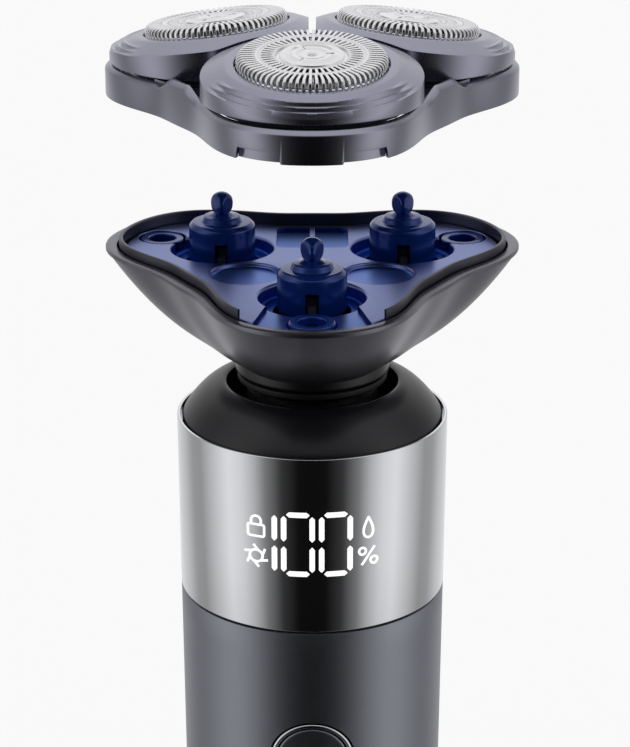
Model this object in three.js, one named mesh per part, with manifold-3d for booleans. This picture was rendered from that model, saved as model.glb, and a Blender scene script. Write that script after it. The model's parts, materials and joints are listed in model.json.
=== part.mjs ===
// Rotary electric shaver with three floating cutting heads, its magnetic head cap lifted
// clear of the head base. Millimetres, +Z up, front towards -Y, flat base centred on the origin.
import * as THREE from 'three';
import { mergeVertices } from 'three/addons/utils/BufferGeometryUtils.js';
import Module from 'manifold-3d';

const wasm = await Module();
wasm.setup();

// ---- Driving dimensions, mm ------------------------------------------------------------
const GAP = 0.3;                 // clearance between pieces that touch
const HANDLE_HEIGHT = 120;       // flat base to the top edge of the display sleeve
const HANDLE_RADIUS = 20.5;      // at the sleeve's top edge
const HANDLE_TAPER = 0.008;      // radius lost per mm below that edge
const SLEEVE_LENGTH = 27.6;
const SLEEVE_WALL = 1.2;
const GRIP_WALL = 1.8;
const SPIGOT_LENGTH = 6;         // grip shell's neck inside the sleeve
const END_CAP_HEIGHT = 6;
const END_CAP_FLOOR = 2.2;
const BASE_ROUNDING = 2.5;
const SEAL_THICKNESS = 0.9;
const SHOULDER_RISE = 5.1;       // sleeve top to the neck hole's edge
const NECK_HOLE_RADIUS = 12.9;
const NECK_PLATE = 1.2;

const BUTTON_BELOW_SLEEVE_TOP = 49.3;
const BUTTON_RADIUS = 5.4;
const BUTTON_TRIM = 0.6;         // width of the ring around the button
const BUTTON_TRAVEL = 0.6;

const CHASSIS_PLATE = 1.6;
const CHASSIS_CLEARANCE = 1.3;   // chassis to the grip shell's bore
const MOTOR_RADIUS = 10;
const MOTOR_LENGTH = 24;
const MOTOR_WALL = 0.8;
const BELL_LENGTH = 2.7;
const SHAFT_RADIUS = 1;
const BATTERY_RADIUS = 9;
const BOARD_THICKNESS = 1;
const BOARD_WIDTH = 22;
const PORT = { width: 9, depth: 3.2, recess: 0.6, wall: 0.35, tongue: 0.7 };
const SCREW = { head: 1.9, headHeight: 1.3, shank: 0.9 };

const BOARD_SETBACK = 6.84;       // main board behind the grip shell's bore
const BATTERY_SETBACK = 1.5;      // battery inside the chassis edge at the rear

// The head is measured upwards from HEAD_DATUM, a plane just above the shoulder.
const HEAD_DATUM = HANDLE_HEIGHT + 5.82;
const PIVOT = -2.5;              // height of the neck's two crossed tilt axes
const GIMBAL = { inner: 8.4, outer: 9.9, height: 1.8, trunnion: 0.7, earInner: 6.6, earWidth: 4.4 };
const NECK_RADIUS = 12;          // bottom of the bowl
const NECK_RING_RADIUS = 11.6;
const BOWL_BOTTOM = 3.9;
const SPINDLE_CIRCLE = 15.75;    // radius on which the three drive spindles stand
const RIM_TIP = SPINDLE_CIRCLE + 17.85;    // rim radius at the three lobes
const RIM_WAIST = SPINDLE_CIRCLE + 7.2;    // and between them
const RIM_TOP = 17.9;
const RIM_LIP = 0.7;
const LIP_STEP = 0.3;
const BOWL_WALL = 1.3;
const SEAL_BAND = { inset: 2.1, width: 0.75, top: 19.2, opening: 20.6 };
const DECK_TOP = 17.48;
const DECK_PLATE = 1.2;
const REAR_RECESS = { width: 11, length: 10.6, centre: 13.1, depth: 0.7, rib: 0.8, ribLength: 5 };

const WELL_RADIUS = 7.7;
const WELL_DEPTH = 2.2;
const WELL_FLOOR = 0.8;
const SUN_TEETH = 15;
const DRIVEN_TEETH = 30;
const GEAR = { bottom: 11.9, thickness: 2.2, pressure: 25, addendum: 0.9, dedendum: 1.2, backlash: 0.15 };
const SPINDLE = { radius: 5, wall: 0.8, bottom: 15.8, shoulder: 21.1, top: 21.68, neck: 1.15 };
const SPINDLE_TRAVEL = 1.5;
const BALL = { height: 24.38, radius: 1.85, flat: 1.2 };
const DRIVE_BALL = { radius: 2.2, flat: 1.45 };
const MAGNET = {
  circle: SPINDLE_CIRCLE + 10.85, radius: 3.3, hole: 2, thickness: 1.2, recess: 0.1, pocketWall: 0.35,
};
const FINGER_HOLLOW = { radius: 5.2, x: 9.7, y: -5, depth: 0.7 };
const TROUGH = { inner: 6.5, outer: 9.5, start: 4, depth: 0.7 };   // rinse channel behind the front rim
const DECK_CENTRE_HOLE = 1.6;

const HALF_SPACING = SPINDLE_CIRCLE * Math.sin(Math.PI / 3);   // half the way between two spindles
const CAP_LIFT = 23.1;           // how far the cap is drawn clear of its seat
const CAP_INSET = 0.7;           // cap skirt inside the rim's outline
const CAP_WALL = 1.1;
const CAP_WEB = 1.2;
const CAP_DOME = { tipHeight: 4.9, slope: 0.12 };
const NOTCH = { inner: 4.4, outer: 10.2, height: 1.6 };
const COLLAR = { width: 0.6, top: 22.45 };   // rim round each opening of the cap's web
const WEB_HOLE = 8;
const HEAD_LEAN = THREE.MathUtils.degToRad(7.75);
const FOIL = {
  radius: HALF_SPACING - 3.09, top: 5.35, wall: 0.5,
  flange: 0.85, flangeBottom: 2.6, flangeHeight: 0.6,
};
const BEZEL = {
  radius: HALF_SPACING + 1.86, flat: HALF_SPACING - 0.54, offset: 0.9, swing: 0.7, sink: 0.65,
  seam: 1.27, chamfer: 1.45, slope: 0.43,
};
const TRUNNION = { radius: 0.55, height: 22.75, length: 1.3 };
const CARRIER_RING = { outer: HALF_SPACING - 0.34, inner: HALF_SPACING - 4.04, height: 1.05 };
const CUTTER = {
  blades: 12, inner: FOIL.radius - 4.15, bladeHeight: 0.6, bladeWidth: 0.5, ring: 0.5, hubRadius: 3.1,
};

const ROUND = 32;                // segments of the handle's round pieces
const FINE_ROUND = 48;           // segments of the three-lobed pieces, a multiple of six
const MEDIUM_ROUND = 24;
const SMALL_ROUND = 16;
const BOWL_LEVELS = 4;
const FRONT = -Math.PI / 2;

// ---- Solids ----------------------------------------------------------------------------
function solid(geometry) {
  const bare = geometry.index ? geometry.toNonIndexed() : geometry.clone();
  bare.deleteAttribute('normal');
  bare.deleteAttribute('uv');
  const merged = mergeVertices(bare, 1e-4);
  return new wasm.Manifold(new wasm.Mesh({
    numProp: 3,
    vertProperties: new Float32Array(merged.attributes.position.array),
    triVerts: new Uint32Array(merged.index.array),
  }));
}

function geometryOf(manifold) {
  const mesh = manifold.getMesh();
  const geometry = new THREE.BufferGeometry();
  geometry.setAttribute('position', new THREE.BufferAttribute(mesh.vertProperties, 3));
  geometry.setIndex(new THREE.BufferAttribute(mesh.triVerts, 1));
  return geometry;
}

const join = (...solids) => solids.reduce((whole, next) => whole.add(next));
const cut = (body, ...tools) => tools.reduce((whole, tool) => whole.subtract(tool), body);

// A profile of [radius, height] pairs turned about Z.
function lathe(profile, segments = ROUND) {
  const points = profile.map(([radius, height]) => new THREE.Vector2(radius, height));
  return new THREE.LatheGeometry(points, segments).rotateX(Math.PI / 2);
}

const turned = (profile, segments) => solid(lathe(profile, segments));

function disc(radius, bottom, top, segments = ROUND) {
  return turned([[0, bottom], [radius, bottom], [radius, top], [0, top]], segments);
}

function ring(outer, inner, bottom, top, segments = ROUND) {
  const profile = [[inner, bottom], [outer, bottom], [outer, top], [inner, top], [inner, bottom]];
  return turned(profile, segments);
}

function box(width, depth, height, x, y, z) {
  return solid(new THREE.BoxGeometry(width, depth, height).translate(x, y, z));
}

function extrude(shape, bottom, top, curveSegments = 12) {
  const geometry = new THREE.ExtrudeGeometry(shape, {
    depth: top - bottom, bevelEnabled: false, curveSegments,
  });
  return solid(geometry.translate(0, 0, bottom));
}

// A rod along Y, from y = start to y = end, at height z.
function rodY(radius, start, end, z, segments = SMALL_ROUND) {
  const rod = new THREE.CylinderGeometry(radius, radius, end - start, segments);
  return solid(rod.translate(0, (start + end) / 2, z));
}

// A rod along X, from x = start to x = end, at height z.
function rodX(radius, start, end, y, z, segments = SMALL_ROUND) {
  const rod = new THREE.CylinderGeometry(radius, radius, end - start, segments);
  return solid(rod.rotateZ(Math.PI / 2).translate((start + end) / 2, y, z));
}

// A three-sided prism about Z whose flats lie at the given distance from the axis.
function triangularPrism(flat, bottom, top) {
  return disc(flat / Math.cos(Math.PI / 3), bottom, top, 3);
}

// A drive ball about Z with three flats, centred at the given height.
function driveBall(radius, flat, height) {
  const ball = solid(new THREE.SphereGeometry(radius, 12, 8).rotateX(Math.PI / 2)
    .translate(0, 0, height));
  return ball.intersect(triangularPrism(flat, height - radius, height + radius));
}

// ---- The three-lobed outline -----------------------------------------------------------
// 1 at a lobe's tip and 0 midway between lobes; the angle is counted from the front lobe.
function lobe(angle) {
  return 0.4855 + 0.537 * Math.cos(3 * angle) + 0.0147 * Math.cos(6 * angle)
    - 0.0372 * Math.cos(9 * angle);
}

const rimRadius = (angle, inset) => RIM_WAIST + (RIM_TIP - RIM_WAIST) * lobe(angle) - inset;

function lobedShape(inset) {
  const points = Array.from({ length: FINE_ROUND }, (_, i) => {
    const angle = (2 * Math.PI * i) / FINE_ROUND;
    const radius = rimRadius(angle, inset);
    return new THREE.Vector2(radius * Math.cos(angle + FRONT), radius * Math.sin(angle + FRONT));
  });
  return new THREE.Shape(points);
}

const lobedPlate = (inset, bottom, top) => extrude(lobedShape(inset), bottom, top);

const lobedRing = (outerInset, innerInset, bottom, top) => cut(
  lobedPlate(outerInset, bottom, top), lobedPlate(innerInset, bottom - 1, top + 1));

// Levels of { z, tip, waist } joined into one solid, round where tip equals waist.
function lobedLoft(levels) {
  const profile = [[0, levels[0].z], ...levels.map(({ tip, z }) => [tip, z]), [0, levels.at(-1).z]];
  const geometry = lathe(profile, FINE_ROUND);
  const position = geometry.attributes.position;
  for (let i = 0; i < position.count; i += 1) {
    const step = i % profile.length;
    const { tip, waist } = levels[THREE.MathUtils.clamp(step - 1, 0, levels.length - 1)];
    const angle = Math.atan2(position.getY(i), position.getX(i)) - FRONT;
    const scale = (waist + (tip - waist) * lobe(angle)) / tip;
    position.setXY(i, position.getX(i) * scale, position.getY(i) * scale);
  }
  return solid(geometry);
}

// ---- Scene graph -----------------------------------------------------------------------
const finish = (color, roughness, metalness) => ({ color, roughness, metalness });
const FINISHES = {
  grip: finish(0x55585f, 0.5, 0.2),
  sleeve: finish(0x6d7078, 0.12, 1),
  shoulder: finish(0x1c1c20, 0.2, 0.3),
  bowl: finish(0x55555d, 0.3, 0.5),
  deck: finish(0x6f76b0, 0.4, 0),
  drive: finish(0x0b2560, 0.3, 0),
  cap: finish(0x77778a, 0.3, 0.8),
  bezel: finish(0x63636f, 0.28, 0.8),
  steel: finish(0xc6c7ca, 0.25, 1),
  brass: finish(0xb08d4a, 0.35, 1),
  acetal: finish(0xe6e6e0, 0.5, 0),
  rubber: finish(0x17181b, 0.85, 0),
  black: finish(0x1d1e22, 0.6, 0),
  board: finish(0x1e5a35, 0.6, 0),
  wrap: finish(0x2f6fb0, 0.45, 0),
  lens: finish(0xf2f4f8, 0.3, 0),
};

function place(group, name, shape, look) {
  const geometry = shape instanceof THREE.BufferGeometry ? shape : geometryOf(shape);
  const mesh = new THREE.Mesh(geometry, new THREE.MeshStandardMaterial(FINISHES[look]));
  mesh.name = name;
  group.add(mesh);
}

// ---- Handle ----------------------------------------------------------------------------
const SLEEVE_BOTTOM = HANDLE_HEIGHT - SLEEVE_LENGTH;
const outerRadius = (z) => HANDLE_RADIUS - HANDLE_TAPER * (HANDLE_HEIGHT - z);
const gripBore = (z) => outerRadius(z) - GRIP_WALL;
const CHASSIS_RADIUS = gripBore(0) - CHASSIS_CLEARANCE;
const BUTTON_Z = HANDLE_HEIGHT - BUTTON_BELOW_SLEEVE_TOP;
const BUTTON_HOLE = BUTTON_RADIUS + BUTTON_TRIM + 2 * GAP;
const BOARD_Y = -(gripBore(0) - BOARD_SETBACK);
const NECK_PLATE_BOTTOM = HANDLE_HEIGHT - 1;
const CHASSIS_TOP = NECK_PLATE_BOTTOM - GAP;
const MOTOR_TOP = CHASSIS_TOP - CHASSIS_PLATE - GAP;
const MOTOR_BOTTOM = MOTOR_TOP - MOTOR_LENGTH;
const BELL_BOTTOM = MOTOR_BOTTOM - GAP - BELL_LENGTH;
const MID_PLATE_TOP = BELL_BOTTOM - 10;
const CHASSIS_BOTTOM = 11;
const END_CAP_TOP = CHASSIS_BOTTOM - 1;
const SCREW_PLACES = [-1, 1].map((side) => [side * (CHASSIS_RADIUS - 5.4), 5]);
const BUTTON_BACK = -(outerRadius(BUTTON_Z) - 2.8);
const GASKET_FRONT = BUTTON_BACK + BUTTON_TRAVEL + 0.4;
const SWITCH_TIP = GASKET_FRONT + 1.1;

const handleEnvelope = () => turned([
  [0, 0], [outerRadius(0), 0], [HANDLE_RADIUS, HANDLE_HEIGHT], [0, HANDLE_HEIGHT],
]);

function gripShell() {
  const bottom = END_CAP_HEIGHT + GAP;
  const shoulder = SLEEVE_BOTTOM - GAP;
  const top = shoulder + SPIGOT_LENGTH;
  const spigot = outerRadius(shoulder) - SLEEVE_WALL - GAP;
  const shell = turned([
    [gripBore(bottom), bottom], [outerRadius(bottom), bottom], [outerRadius(shoulder), shoulder],
    [spigot, shoulder], [spigot, top], [gripBore(bottom), top], [gripBore(bottom), bottom],
  ]);
  return cut(shell, rodY(BUTTON_HOLE, -HANDLE_RADIUS - 2, 0, BUTTON_Z, 32));
}

function displaySleeve() {
  const rebate = HANDLE_HEIGHT - 2;
  const innerTop = HANDLE_RADIUS - 0.5;
  const inner = (z) => outerRadius(z) - SLEEVE_WALL;
  return lathe([
    [inner(SLEEVE_BOTTOM), SLEEVE_BOTTOM], [outerRadius(SLEEVE_BOTTOM), SLEEVE_BOTTOM],
    [HANDLE_RADIUS, HANDLE_HEIGHT], [innerTop, HANDLE_HEIGHT], [innerTop, rebate],
    [inner(rebate), rebate], [inner(SLEEVE_BOTTOM), SLEEVE_BOTTOM],
  ]);
}

function shoulderRing() {
  const rim = HANDLE_RADIUS - 0.5 - GAP;
  const edge = HANDLE_HEIGHT + SHOULDER_RISE;
  const skirt = rim - SLEEVE_WALL;
  const crown = [0, 0.35, 0.65, 1].map((t) => [
    rim - (rim - NECK_HOLE_RADIUS) * t,
    HANDLE_HEIGHT - 0.2 + (SHOULDER_RISE + 0.2) * Math.sin((t * Math.PI) / 2) ** 0.85,
  ]);
  return lathe([
    [skirt, HANDLE_HEIGHT - 1.6], [rim, HANDLE_HEIGHT - 1.6], ...crown,
    [NECK_HOLE_RADIUS, edge - 4], [NECK_HOLE_RADIUS + 1.5, edge - 4],
    [NECK_HOLE_RADIUS + 1.5, edge - 1.8], [skirt, HANDLE_HEIGHT], [skirt, HANDLE_HEIGHT - 1.6],
  ]);
}

function endCap() {
  const spigot = gripBore(END_CAP_HEIGHT) - GAP - SEAL_THICKNESS - GAP;
  const wall = spigot - 1.5;
  const outer = outerRadius(END_CAP_HEIGHT);
  const cup = turned([
    [0, 0], [outer - BASE_ROUNDING, 0], [outer - 0.3 * BASE_ROUNDING, 0.3 * BASE_ROUNDING],
    [outer, BASE_ROUNDING], [outer, END_CAP_HEIGHT], [spigot, END_CAP_HEIGHT], [spigot, END_CAP_TOP],
    [wall, END_CAP_TOP], [wall, END_CAP_FLOOR], [0, END_CAP_FLOOR],
  ]);
  const port = box(PORT.width + 2 * GAP, PORT.depth + 2 * GAP, 8, 0, BOARD_Y, 0);
  const screwHoles = SCREW_PLACES.flatMap(([x, y]) => [
    disc(SCREW.shank + GAP, -1, END_CAP_TOP + 1, 16).translate([x, y, 0]),
    disc(SCREW.head + GAP, -1, SCREW.headHeight, 16).translate([x, y, 0]),
  ]);
  return cut(cup, port, ...screwHoles);
}

function baseSeal() {
  const outer = gripBore(END_CAP_HEIGHT) - GAP;
  const bottom = END_CAP_HEIGHT + GAP;
  return geometryOf(ring(outer, outer - SEAL_THICKNESS, bottom, bottom + 2));
}

function screw() {
  const { head, headHeight, shank } = SCREW;
  const seat = headHeight - GAP;
  const tip = CHASSIS_BOTTOM - GAP;
  return lathe([[0, 0.2], [head, 0.2], [head, seat], [shank, seat], [shank, tip], [0, tip]], 12);
}

function chassis() {
  const rail = new THREE.Shape();
  const half = THREE.MathUtils.degToRad(24);
  rail.absarc(0, 0, CHASSIS_RADIUS, -half, half, false);
  rail.absarc(0, 0, CHASSIS_RADIUS - 1.8, half, -half, true);
  const rails = [0, 180].map((turn) => extrude(rail, CHASSIS_BOTTOM, CHASSIS_TOP, 5)
    .rotate([0, 0, turn]));
  const plates = [CHASSIS_BOTTOM + CHASSIS_PLATE, MID_PLATE_TOP, CHASSIS_TOP]
    .map((top) => disc(CHASSIS_RADIUS, top - CHASSIS_PLATE, top, MEDIUM_ROUND));
  const boardSlot = box(60, 20, CHASSIS_TOP - CHASSIS_PLATE - 0.01,
    0, BOARD_Y + BOARD_THICKNESS / 2 + GAP - 10, (CHASSIS_TOP - CHASSIS_PLATE) / 2);
  const shaftHole = disc(SHAFT_RADIUS + 1.5, CHASSIS_TOP - 5, CHASSIS_TOP + 1, 16);
  return cut(join(...plates, ...rails), boardSlot, shaftHole);
}

function battery() {
  const bottom = CHASSIS_BOTTOM + CHASSIS_PLATE + GAP;
  const top = MID_PLATE_TOP - CHASSIS_PLATE - GAP;
  const cell = lathe([
    [0, bottom], [BATTERY_RADIUS, bottom], [BATTERY_RADIUS, top - 1.4],
    [3, top - 1.4], [3, top], [0, top],
  ], MEDIUM_ROUND);
  return cell.translate(0, CHASSIS_RADIUS - BATTERY_RADIUS - BATTERY_SETBACK, 0);
}

function motorCan() {
  return lathe([
    [SHAFT_RADIUS + GAP, MOTOR_TOP - MOTOR_WALL], [MOTOR_RADIUS - MOTOR_WALL, MOTOR_TOP - MOTOR_WALL],
    [MOTOR_RADIUS - MOTOR_WALL, MOTOR_BOTTOM], [MOTOR_RADIUS, MOTOR_BOTTOM],
    [MOTOR_RADIUS, MOTOR_TOP], [SHAFT_RADIUS + GAP, MOTOR_TOP],
    [SHAFT_RADIUS + GAP, MOTOR_TOP - MOTOR_WALL],
  ], MEDIUM_ROUND);
}

const motorEndBell = () => geometryOf(
  disc(MOTOR_RADIUS, BELL_BOTTOM, BELL_BOTTOM + BELL_LENGTH, MEDIUM_ROUND));

function motorRotor() {
  const radius = MOTOR_RADIUS - MOTOR_WALL - 1;
  return geometryOf(ring(radius, SHAFT_RADIUS + GAP, MOTOR_BOTTOM + 2, MOTOR_TOP - 3, MEDIUM_ROUND));
}

function motorShaft() {
  const ball = HEAD_DATUM + PIVOT;
  const shaft = disc(SHAFT_RADIUS, MOTOR_BOTTOM + 0.5, ball, 16);
  return join(shaft, driveBall(DRIVE_BALL.radius, DRIVE_BALL.flat, ball));
}

function mainBoard() {
  const reach = Math.sqrt(gripBore(0) ** 2 - (BOARD_Y - BOARD_THICKNESS / 2) ** 2) - 0.6;
  const width = Math.min(BOARD_WIDTH, 2 * reach);
  const bottom = END_CAP_TOP + GAP;
  const top = BELL_BOTTOM - 1;
  return box(width, BOARD_THICKNESS, top - bottom, 0, BOARD_Y, (top + bottom) / 2);
}

function usbReceptacle() {
  const { width, depth, recess, wall, tongue } = PORT;
  const height = END_CAP_TOP - recess;
  const shell = box(width, depth, height, 0, BOARD_Y, recess + height / 2);
  const mouth = box(width - 2 * wall, depth - 2 * wall, height - 1.5, 0, BOARD_Y,
    recess + (height - 1.5) / 2 - 0.01);
  const tab = box(width - 2.6, tongue, height - 2, 0, BOARD_Y, recess + 1 + (height - 2) / 2);
  return join(cut(shell, mouth), tab);
}

function buttonSwitch() {
  const front = BOARD_Y - BOARD_THICKNESS / 2 - GAP;
  const body = box(6, front - SWITCH_TIP - 0.6, 6, 0, (front + SWITCH_TIP + 0.6) / 2, BUTTON_Z);
  return join(body, rodY(1.5, SWITCH_TIP, front - 1, BUTTON_Z, 12));
}

const buttonGasket = () => cut(
  rodY(BUTTON_HOLE, GASKET_FRONT, GASKET_FRONT + 0.6, BUTTON_Z),
  rodY(2.7, GASKET_FRONT - 1, GASKET_FRONT + 2, BUTTON_Z));

function powerButton() {
  const pad = rodY(BUTTON_RADIUS, -HANDLE_RADIUS - 2, BUTTON_BACK, BUTTON_Z)
    .intersect(handleEnvelope());
  const stem = rodY(2.2, BUTTON_BACK - 0.5, SWITCH_TIP - BUTTON_TRAVEL - GAP, BUTTON_Z, 16);
  return join(pad, stem);
}

function buttonTrimRing() {
  const inner = BUTTON_RADIUS + GAP;
  const blank = cut(rodY(inner + BUTTON_TRIM, -HANDLE_RADIUS - 2, BUTTON_BACK, BUTTON_Z, 32),
    rodY(inner, -HANDLE_RADIUS - 3, BUTTON_BACK + 1, BUTTON_Z, 32));
  return blank.intersect(handleEnvelope());
}

function displayBoard() {
  const y = -(HANDLE_RADIUS - SLEEVE_WALL - 4.7);
  const top = MOTOR_TOP - 1;
  const bottom = SLEEVE_BOTTOM + SPIGOT_LENGTH + 1;
  return box(18, 0.8, top - bottom, 0, y, (top + bottom) / 2);
}

// A curved light pipe that lies against the sleeve's bore behind the display.
function lightGuide() {
  const bottom = SLEEVE_BOTTOM + SPIGOT_LENGTH + 1;
  const outer = outerRadius(bottom) - SLEEVE_WALL - GAP;
  const half = THREE.MathUtils.degToRad(30);
  const section = new THREE.Shape();
  section.absarc(0, 0, outer, FRONT - half, FRONT + half, false);
  section.absarc(0, 0, outer - 1.4, FRONT + half, FRONT - half, true);
  return extrude(section, bottom, MOTOR_TOP - 1, 10);
}

// Floor of the neck with the two ears that carry the gimbal along X.
function neckSocket() {
  const top = NECK_PLATE_BOTTOM + NECK_PLATE;
  const pivot = HEAD_DATUM + PIVOT;
  const earTop = pivot + GIMBAL.trunnion + GAP + 0.7;
  const plate = disc(NECK_HOLE_RADIUS + 1.4, NECK_PLATE_BOTTOM, top);
  const ears = gimbalEars(top - 0.1, earTop);
  const holes = rodX(GIMBAL.trunnion + GAP, -20, 20, 0, pivot, 16);
  return cut(join(plate, ...ears), holes, disc(SHAFT_RADIUS + 1.7, top - 5, top + 5, 16));
}

const gimbalEars = (bottom, top) => [-1, 1].map((side) => box(
  GIMBAL.inner - 2 * GAP - GIMBAL.earInner, GIMBAL.earWidth, top - bottom,
  side * (GIMBAL.inner - 2 * GAP + GIMBAL.earInner) / 2, 0, (top + bottom) / 2));

const neckBush = () => geometryOf(ring(SHAFT_RADIUS + 1.4, SHAFT_RADIUS + GAP,
  NECK_PLATE_BOTTOM, NECK_PLATE_BOTTOM + NECK_PLATE, 16));

function buildHandle() {
  const handle = new THREE.Group();
  place(handle, 'grip_shell', gripShell(), 'grip');
  place(handle, 'display_sleeve', displaySleeve(), 'sleeve');
  place(handle, 'shoulder_ring', shoulderRing(), 'shoulder');
  place(handle, 'end_cap', endCap(), 'grip');
  place(handle, 'base_seal', baseSeal(), 'rubber');
  SCREW_PLACES.forEach(([x, y], i) => {
    place(handle, `base_screw_${i + 1}`, screw().translate(x, y, 0), 'steel');
  });
  place(handle, 'chassis', chassis(), 'black');
  place(handle, 'battery_cell', battery(), 'wrap');
  place(handle, 'motor_can', motorCan(), 'steel');
  place(handle, 'motor_end_bell', motorEndBell(), 'black');
  place(handle, 'motor_rotor', motorRotor(), 'brass');
  place(handle, 'motor_shaft', motorShaft(), 'steel');
  place(handle, 'main_board', mainBoard(), 'board');
  place(handle, 'usb_receptacle', usbReceptacle(), 'steel');
  place(handle, 'button_switch', buttonSwitch(), 'black');
  place(handle, 'button_gasket', buttonGasket(), 'rubber');
  place(handle, 'power_button', powerButton(), 'grip');
  place(handle, 'button_trim_ring', buttonTrimRing(), 'shoulder');
  place(handle, 'display_board', displayBoard(), 'board');
  place(handle, 'light_guide', lightGuide(), 'lens');
  place(handle, 'neck_socket', neckSocket(), 'black');
  place(handle, 'neck_bush', neckBush(), 'brass');
  return handle;
}

// ---- Head base -------------------------------------------------------------------------
const GEAR_MODULE = (2 * SPINDLE_CIRCLE) / (SUN_TEETH + DRIVEN_TEETH);
const GEAR_TOP = GEAR.bottom + GEAR.thickness;
const DECK_INSET = SEAL_BAND.inset + SEAL_BAND.width + GAP;
const WELL_TOP = DECK_TOP - WELL_DEPTH;
const SPINDLE_HOLE = SPINDLE.radius + 0.65;
const MAGNET_POCKET_BOTTOM = DECK_TOP - MAGNET.recess - MAGNET.thickness - GAP;
const MAGNET_BOSS_RADIUS = MAGNET.radius + GAP + MAGNET.pocketWall;
const spindleAt = (i) => new THREE.Vector3(0, -SPINDLE_CIRCLE, 0)
  .applyAxisAngle(new THREE.Vector3(0, 0, 1), (2 * Math.PI * i) / 3);
const threeTimes = (make) => [0, 1, 2].map((i) => make().rotate([0, 0, 120 * i]));

// The bowl's outer skin grows as a power of the height above its bottom edge.
function bowlLevels(inset, bottom, top) {
  const rise = RIM_TOP - RIM_LIP - BOWL_BOTTOM;
  const grow = (rim, t, power) => NECK_RADIUS + (rim - LIP_STEP - NECK_RADIUS) * t ** power - inset;
  const start = Math.sqrt((bottom - BOWL_BOTTOM) / rise);
  const end = Math.sqrt((top - BOWL_BOTTOM) / rise);
  return Array.from({ length: BOWL_LEVELS }, (_, i) => {
    const t = (start + ((end - start) * i) / (BOWL_LEVELS - 1)) ** 2;
    return { z: BOWL_BOTTOM + rise * t, tip: grow(RIM_TIP, t, 0.5), waist: grow(RIM_WAIST, t, 0.6) };
  });
}

function headBowl() {
  const lip = RIM_TOP - RIM_LIP;
  const seat = DECK_TOP - DECK_PLATE - GAP;
  const outside = lobedLoft(bowlLevels(0, BOWL_BOTTOM, lip));
  const lipPlate = lobedPlate(0, lip - 0.05, RIM_TOP);
  const cavityTop = seat - 0.8;
  const cavity = lobedLoft(bowlLevels(BOWL_WALL, BOWL_BOTTOM + 1.4, cavityTop));
  const throat = lobedPlate(DECK_INSET + 1, cavityTop - 0.05, seat + 0.05);
  const pocket = lobedPlate(SEAL_BAND.inset - GAP, seat, RIM_TOP + 1);
  const neck = disc(GIMBAL.earInner - 0.3, BOWL_BOTTOM - 1, BOWL_BOTTOM + 3, MEDIUM_ROUND);
  const bossBottom = MAGNET_POCKET_BOTTOM - MAGNET.pocketWall - GAP;
  const reliefs = threeTimes(() => disc(MAGNET_BOSS_RADIUS + GAP, bossBottom, seat + 0.5, SMALL_ROUND)
    .translate([0, -MAGNET.circle, 0]));
  return cut(join(outside, lipPlate), cavity, throat, pocket, neck, ...reliefs);
}

function sealBand() {
  const { inset, width, top, opening } = SEAL_BAND;
  const band = lobedRing(inset, inset + width, DECK_TOP - DECK_PLATE, top);
  const mouth = box(opening, RIM_TIP, top - DECK_TOP + 1, 0, -RIM_TIP,
    DECK_TOP + (top - DECK_TOP + 1) / 2);
  return cut(band, mouth);
}

const onLobes = (make) => [0, 1, 2].map((i) => make().translate(spindleAt(i).toArray()));

// Deck with three spindle wells, magnet pockets, two finger hollows and a rinse trough.
function deckPlate() {
  const bottom = DECK_TOP - DECK_PLATE;
  const wellBottom = WELL_TOP - WELL_FLOOR;
  const plate = lobedPlate(DECK_INSET, bottom, DECK_TOP);
  const cups = onLobes(() => disc(WELL_RADIUS + 0.8, wellBottom, bottom + 0.2, MEDIUM_ROUND));
  const wells = onLobes(() => disc(WELL_RADIUS, WELL_TOP, DECK_TOP + 1, MEDIUM_ROUND));
  const holes = onLobes(() => disc(SPINDLE_HOLE, wellBottom - 1, DECK_TOP, SMALL_ROUND));
  const onMagnets = (radius, low, high) => threeTimes(() => disc(radius, low, high, SMALL_ROUND)
    .translate([0, -MAGNET.circle, 0]));
  const bosses = onMagnets(MAGNET_BOSS_RADIUS, MAGNET_POCKET_BOTTOM - MAGNET.pocketWall, bottom + 0.2);
  const pockets = onMagnets(MAGNET.radius + GAP, MAGNET_POCKET_BOTTOM, DECK_TOP + 1);
  const finger = FINGER_HOLLOW;
  const hollows = [-1, 1].map((side) => disc(finger.radius, DECK_TOP - finger.depth, DECK_TOP + 1, SMALL_ROUND)
    .translate([side * finger.x, finger.y, 0]));
  const centreHole = disc(DECK_CENTRE_HOLE, bottom - 1, DECK_TOP + 1, 12);
  const troughStart = -SPINDLE_CIRCLE - TROUGH.start;
  const trough = new THREE.Shape([
    new THREE.Vector2(-TROUGH.inner, troughStart), new THREE.Vector2(-TROUGH.outer, -RIM_TIP),
    new THREE.Vector2(TROUGH.outer, -RIM_TIP), new THREE.Vector2(TROUGH.inner, troughStart),
  ]);
  const recess = REAR_RECESS;
  const ribY = recess.centre + (recess.length - recess.ribLength) / 2;
  const rear = cut(
    box(recess.width, recess.length, 2, 0, recess.centre, DECK_TOP - recess.depth + 1),
    box(recess.rib, recess.ribLength, 3, 0, ribY, DECK_TOP));
  const channel = extrude(trough, DECK_TOP - TROUGH.depth, DECK_TOP + 1);
  return cut(join(plate, ...cups, ...bosses),
    ...wells, ...holes, channel, rear, ...hollows, ...pockets, centreHole);
}

function magnet() {
  const bottom = MAGNET_POCKET_BOTTOM + GAP;
  const top = bottom + MAGNET.thickness;
  return geometryOf(ring(MAGNET.radius, MAGNET.hole, bottom, top, SMALL_ROUND))
    .translate(0, -MAGNET.circle, 0);
}

// Plate under the gears with their lower bearings.
function gearFloor() {
  const top = GEAR.bottom - 0.4;
  const bottom = top - 1;
  const level = bowlLevels(BOWL_WALL + GAP, bottom, top)[0];
  const plate = lobedLoft([level, { ...level, z: top }]);
  const bearings = onLobes(() => disc(1.8, bottom - 1, top + 1, 16));
  return cut(plate, ...bearings, disc(DRIVE_BALL.radius + 1.6, bottom - 1, top + 1, SMALL_ROUND));
}

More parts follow.
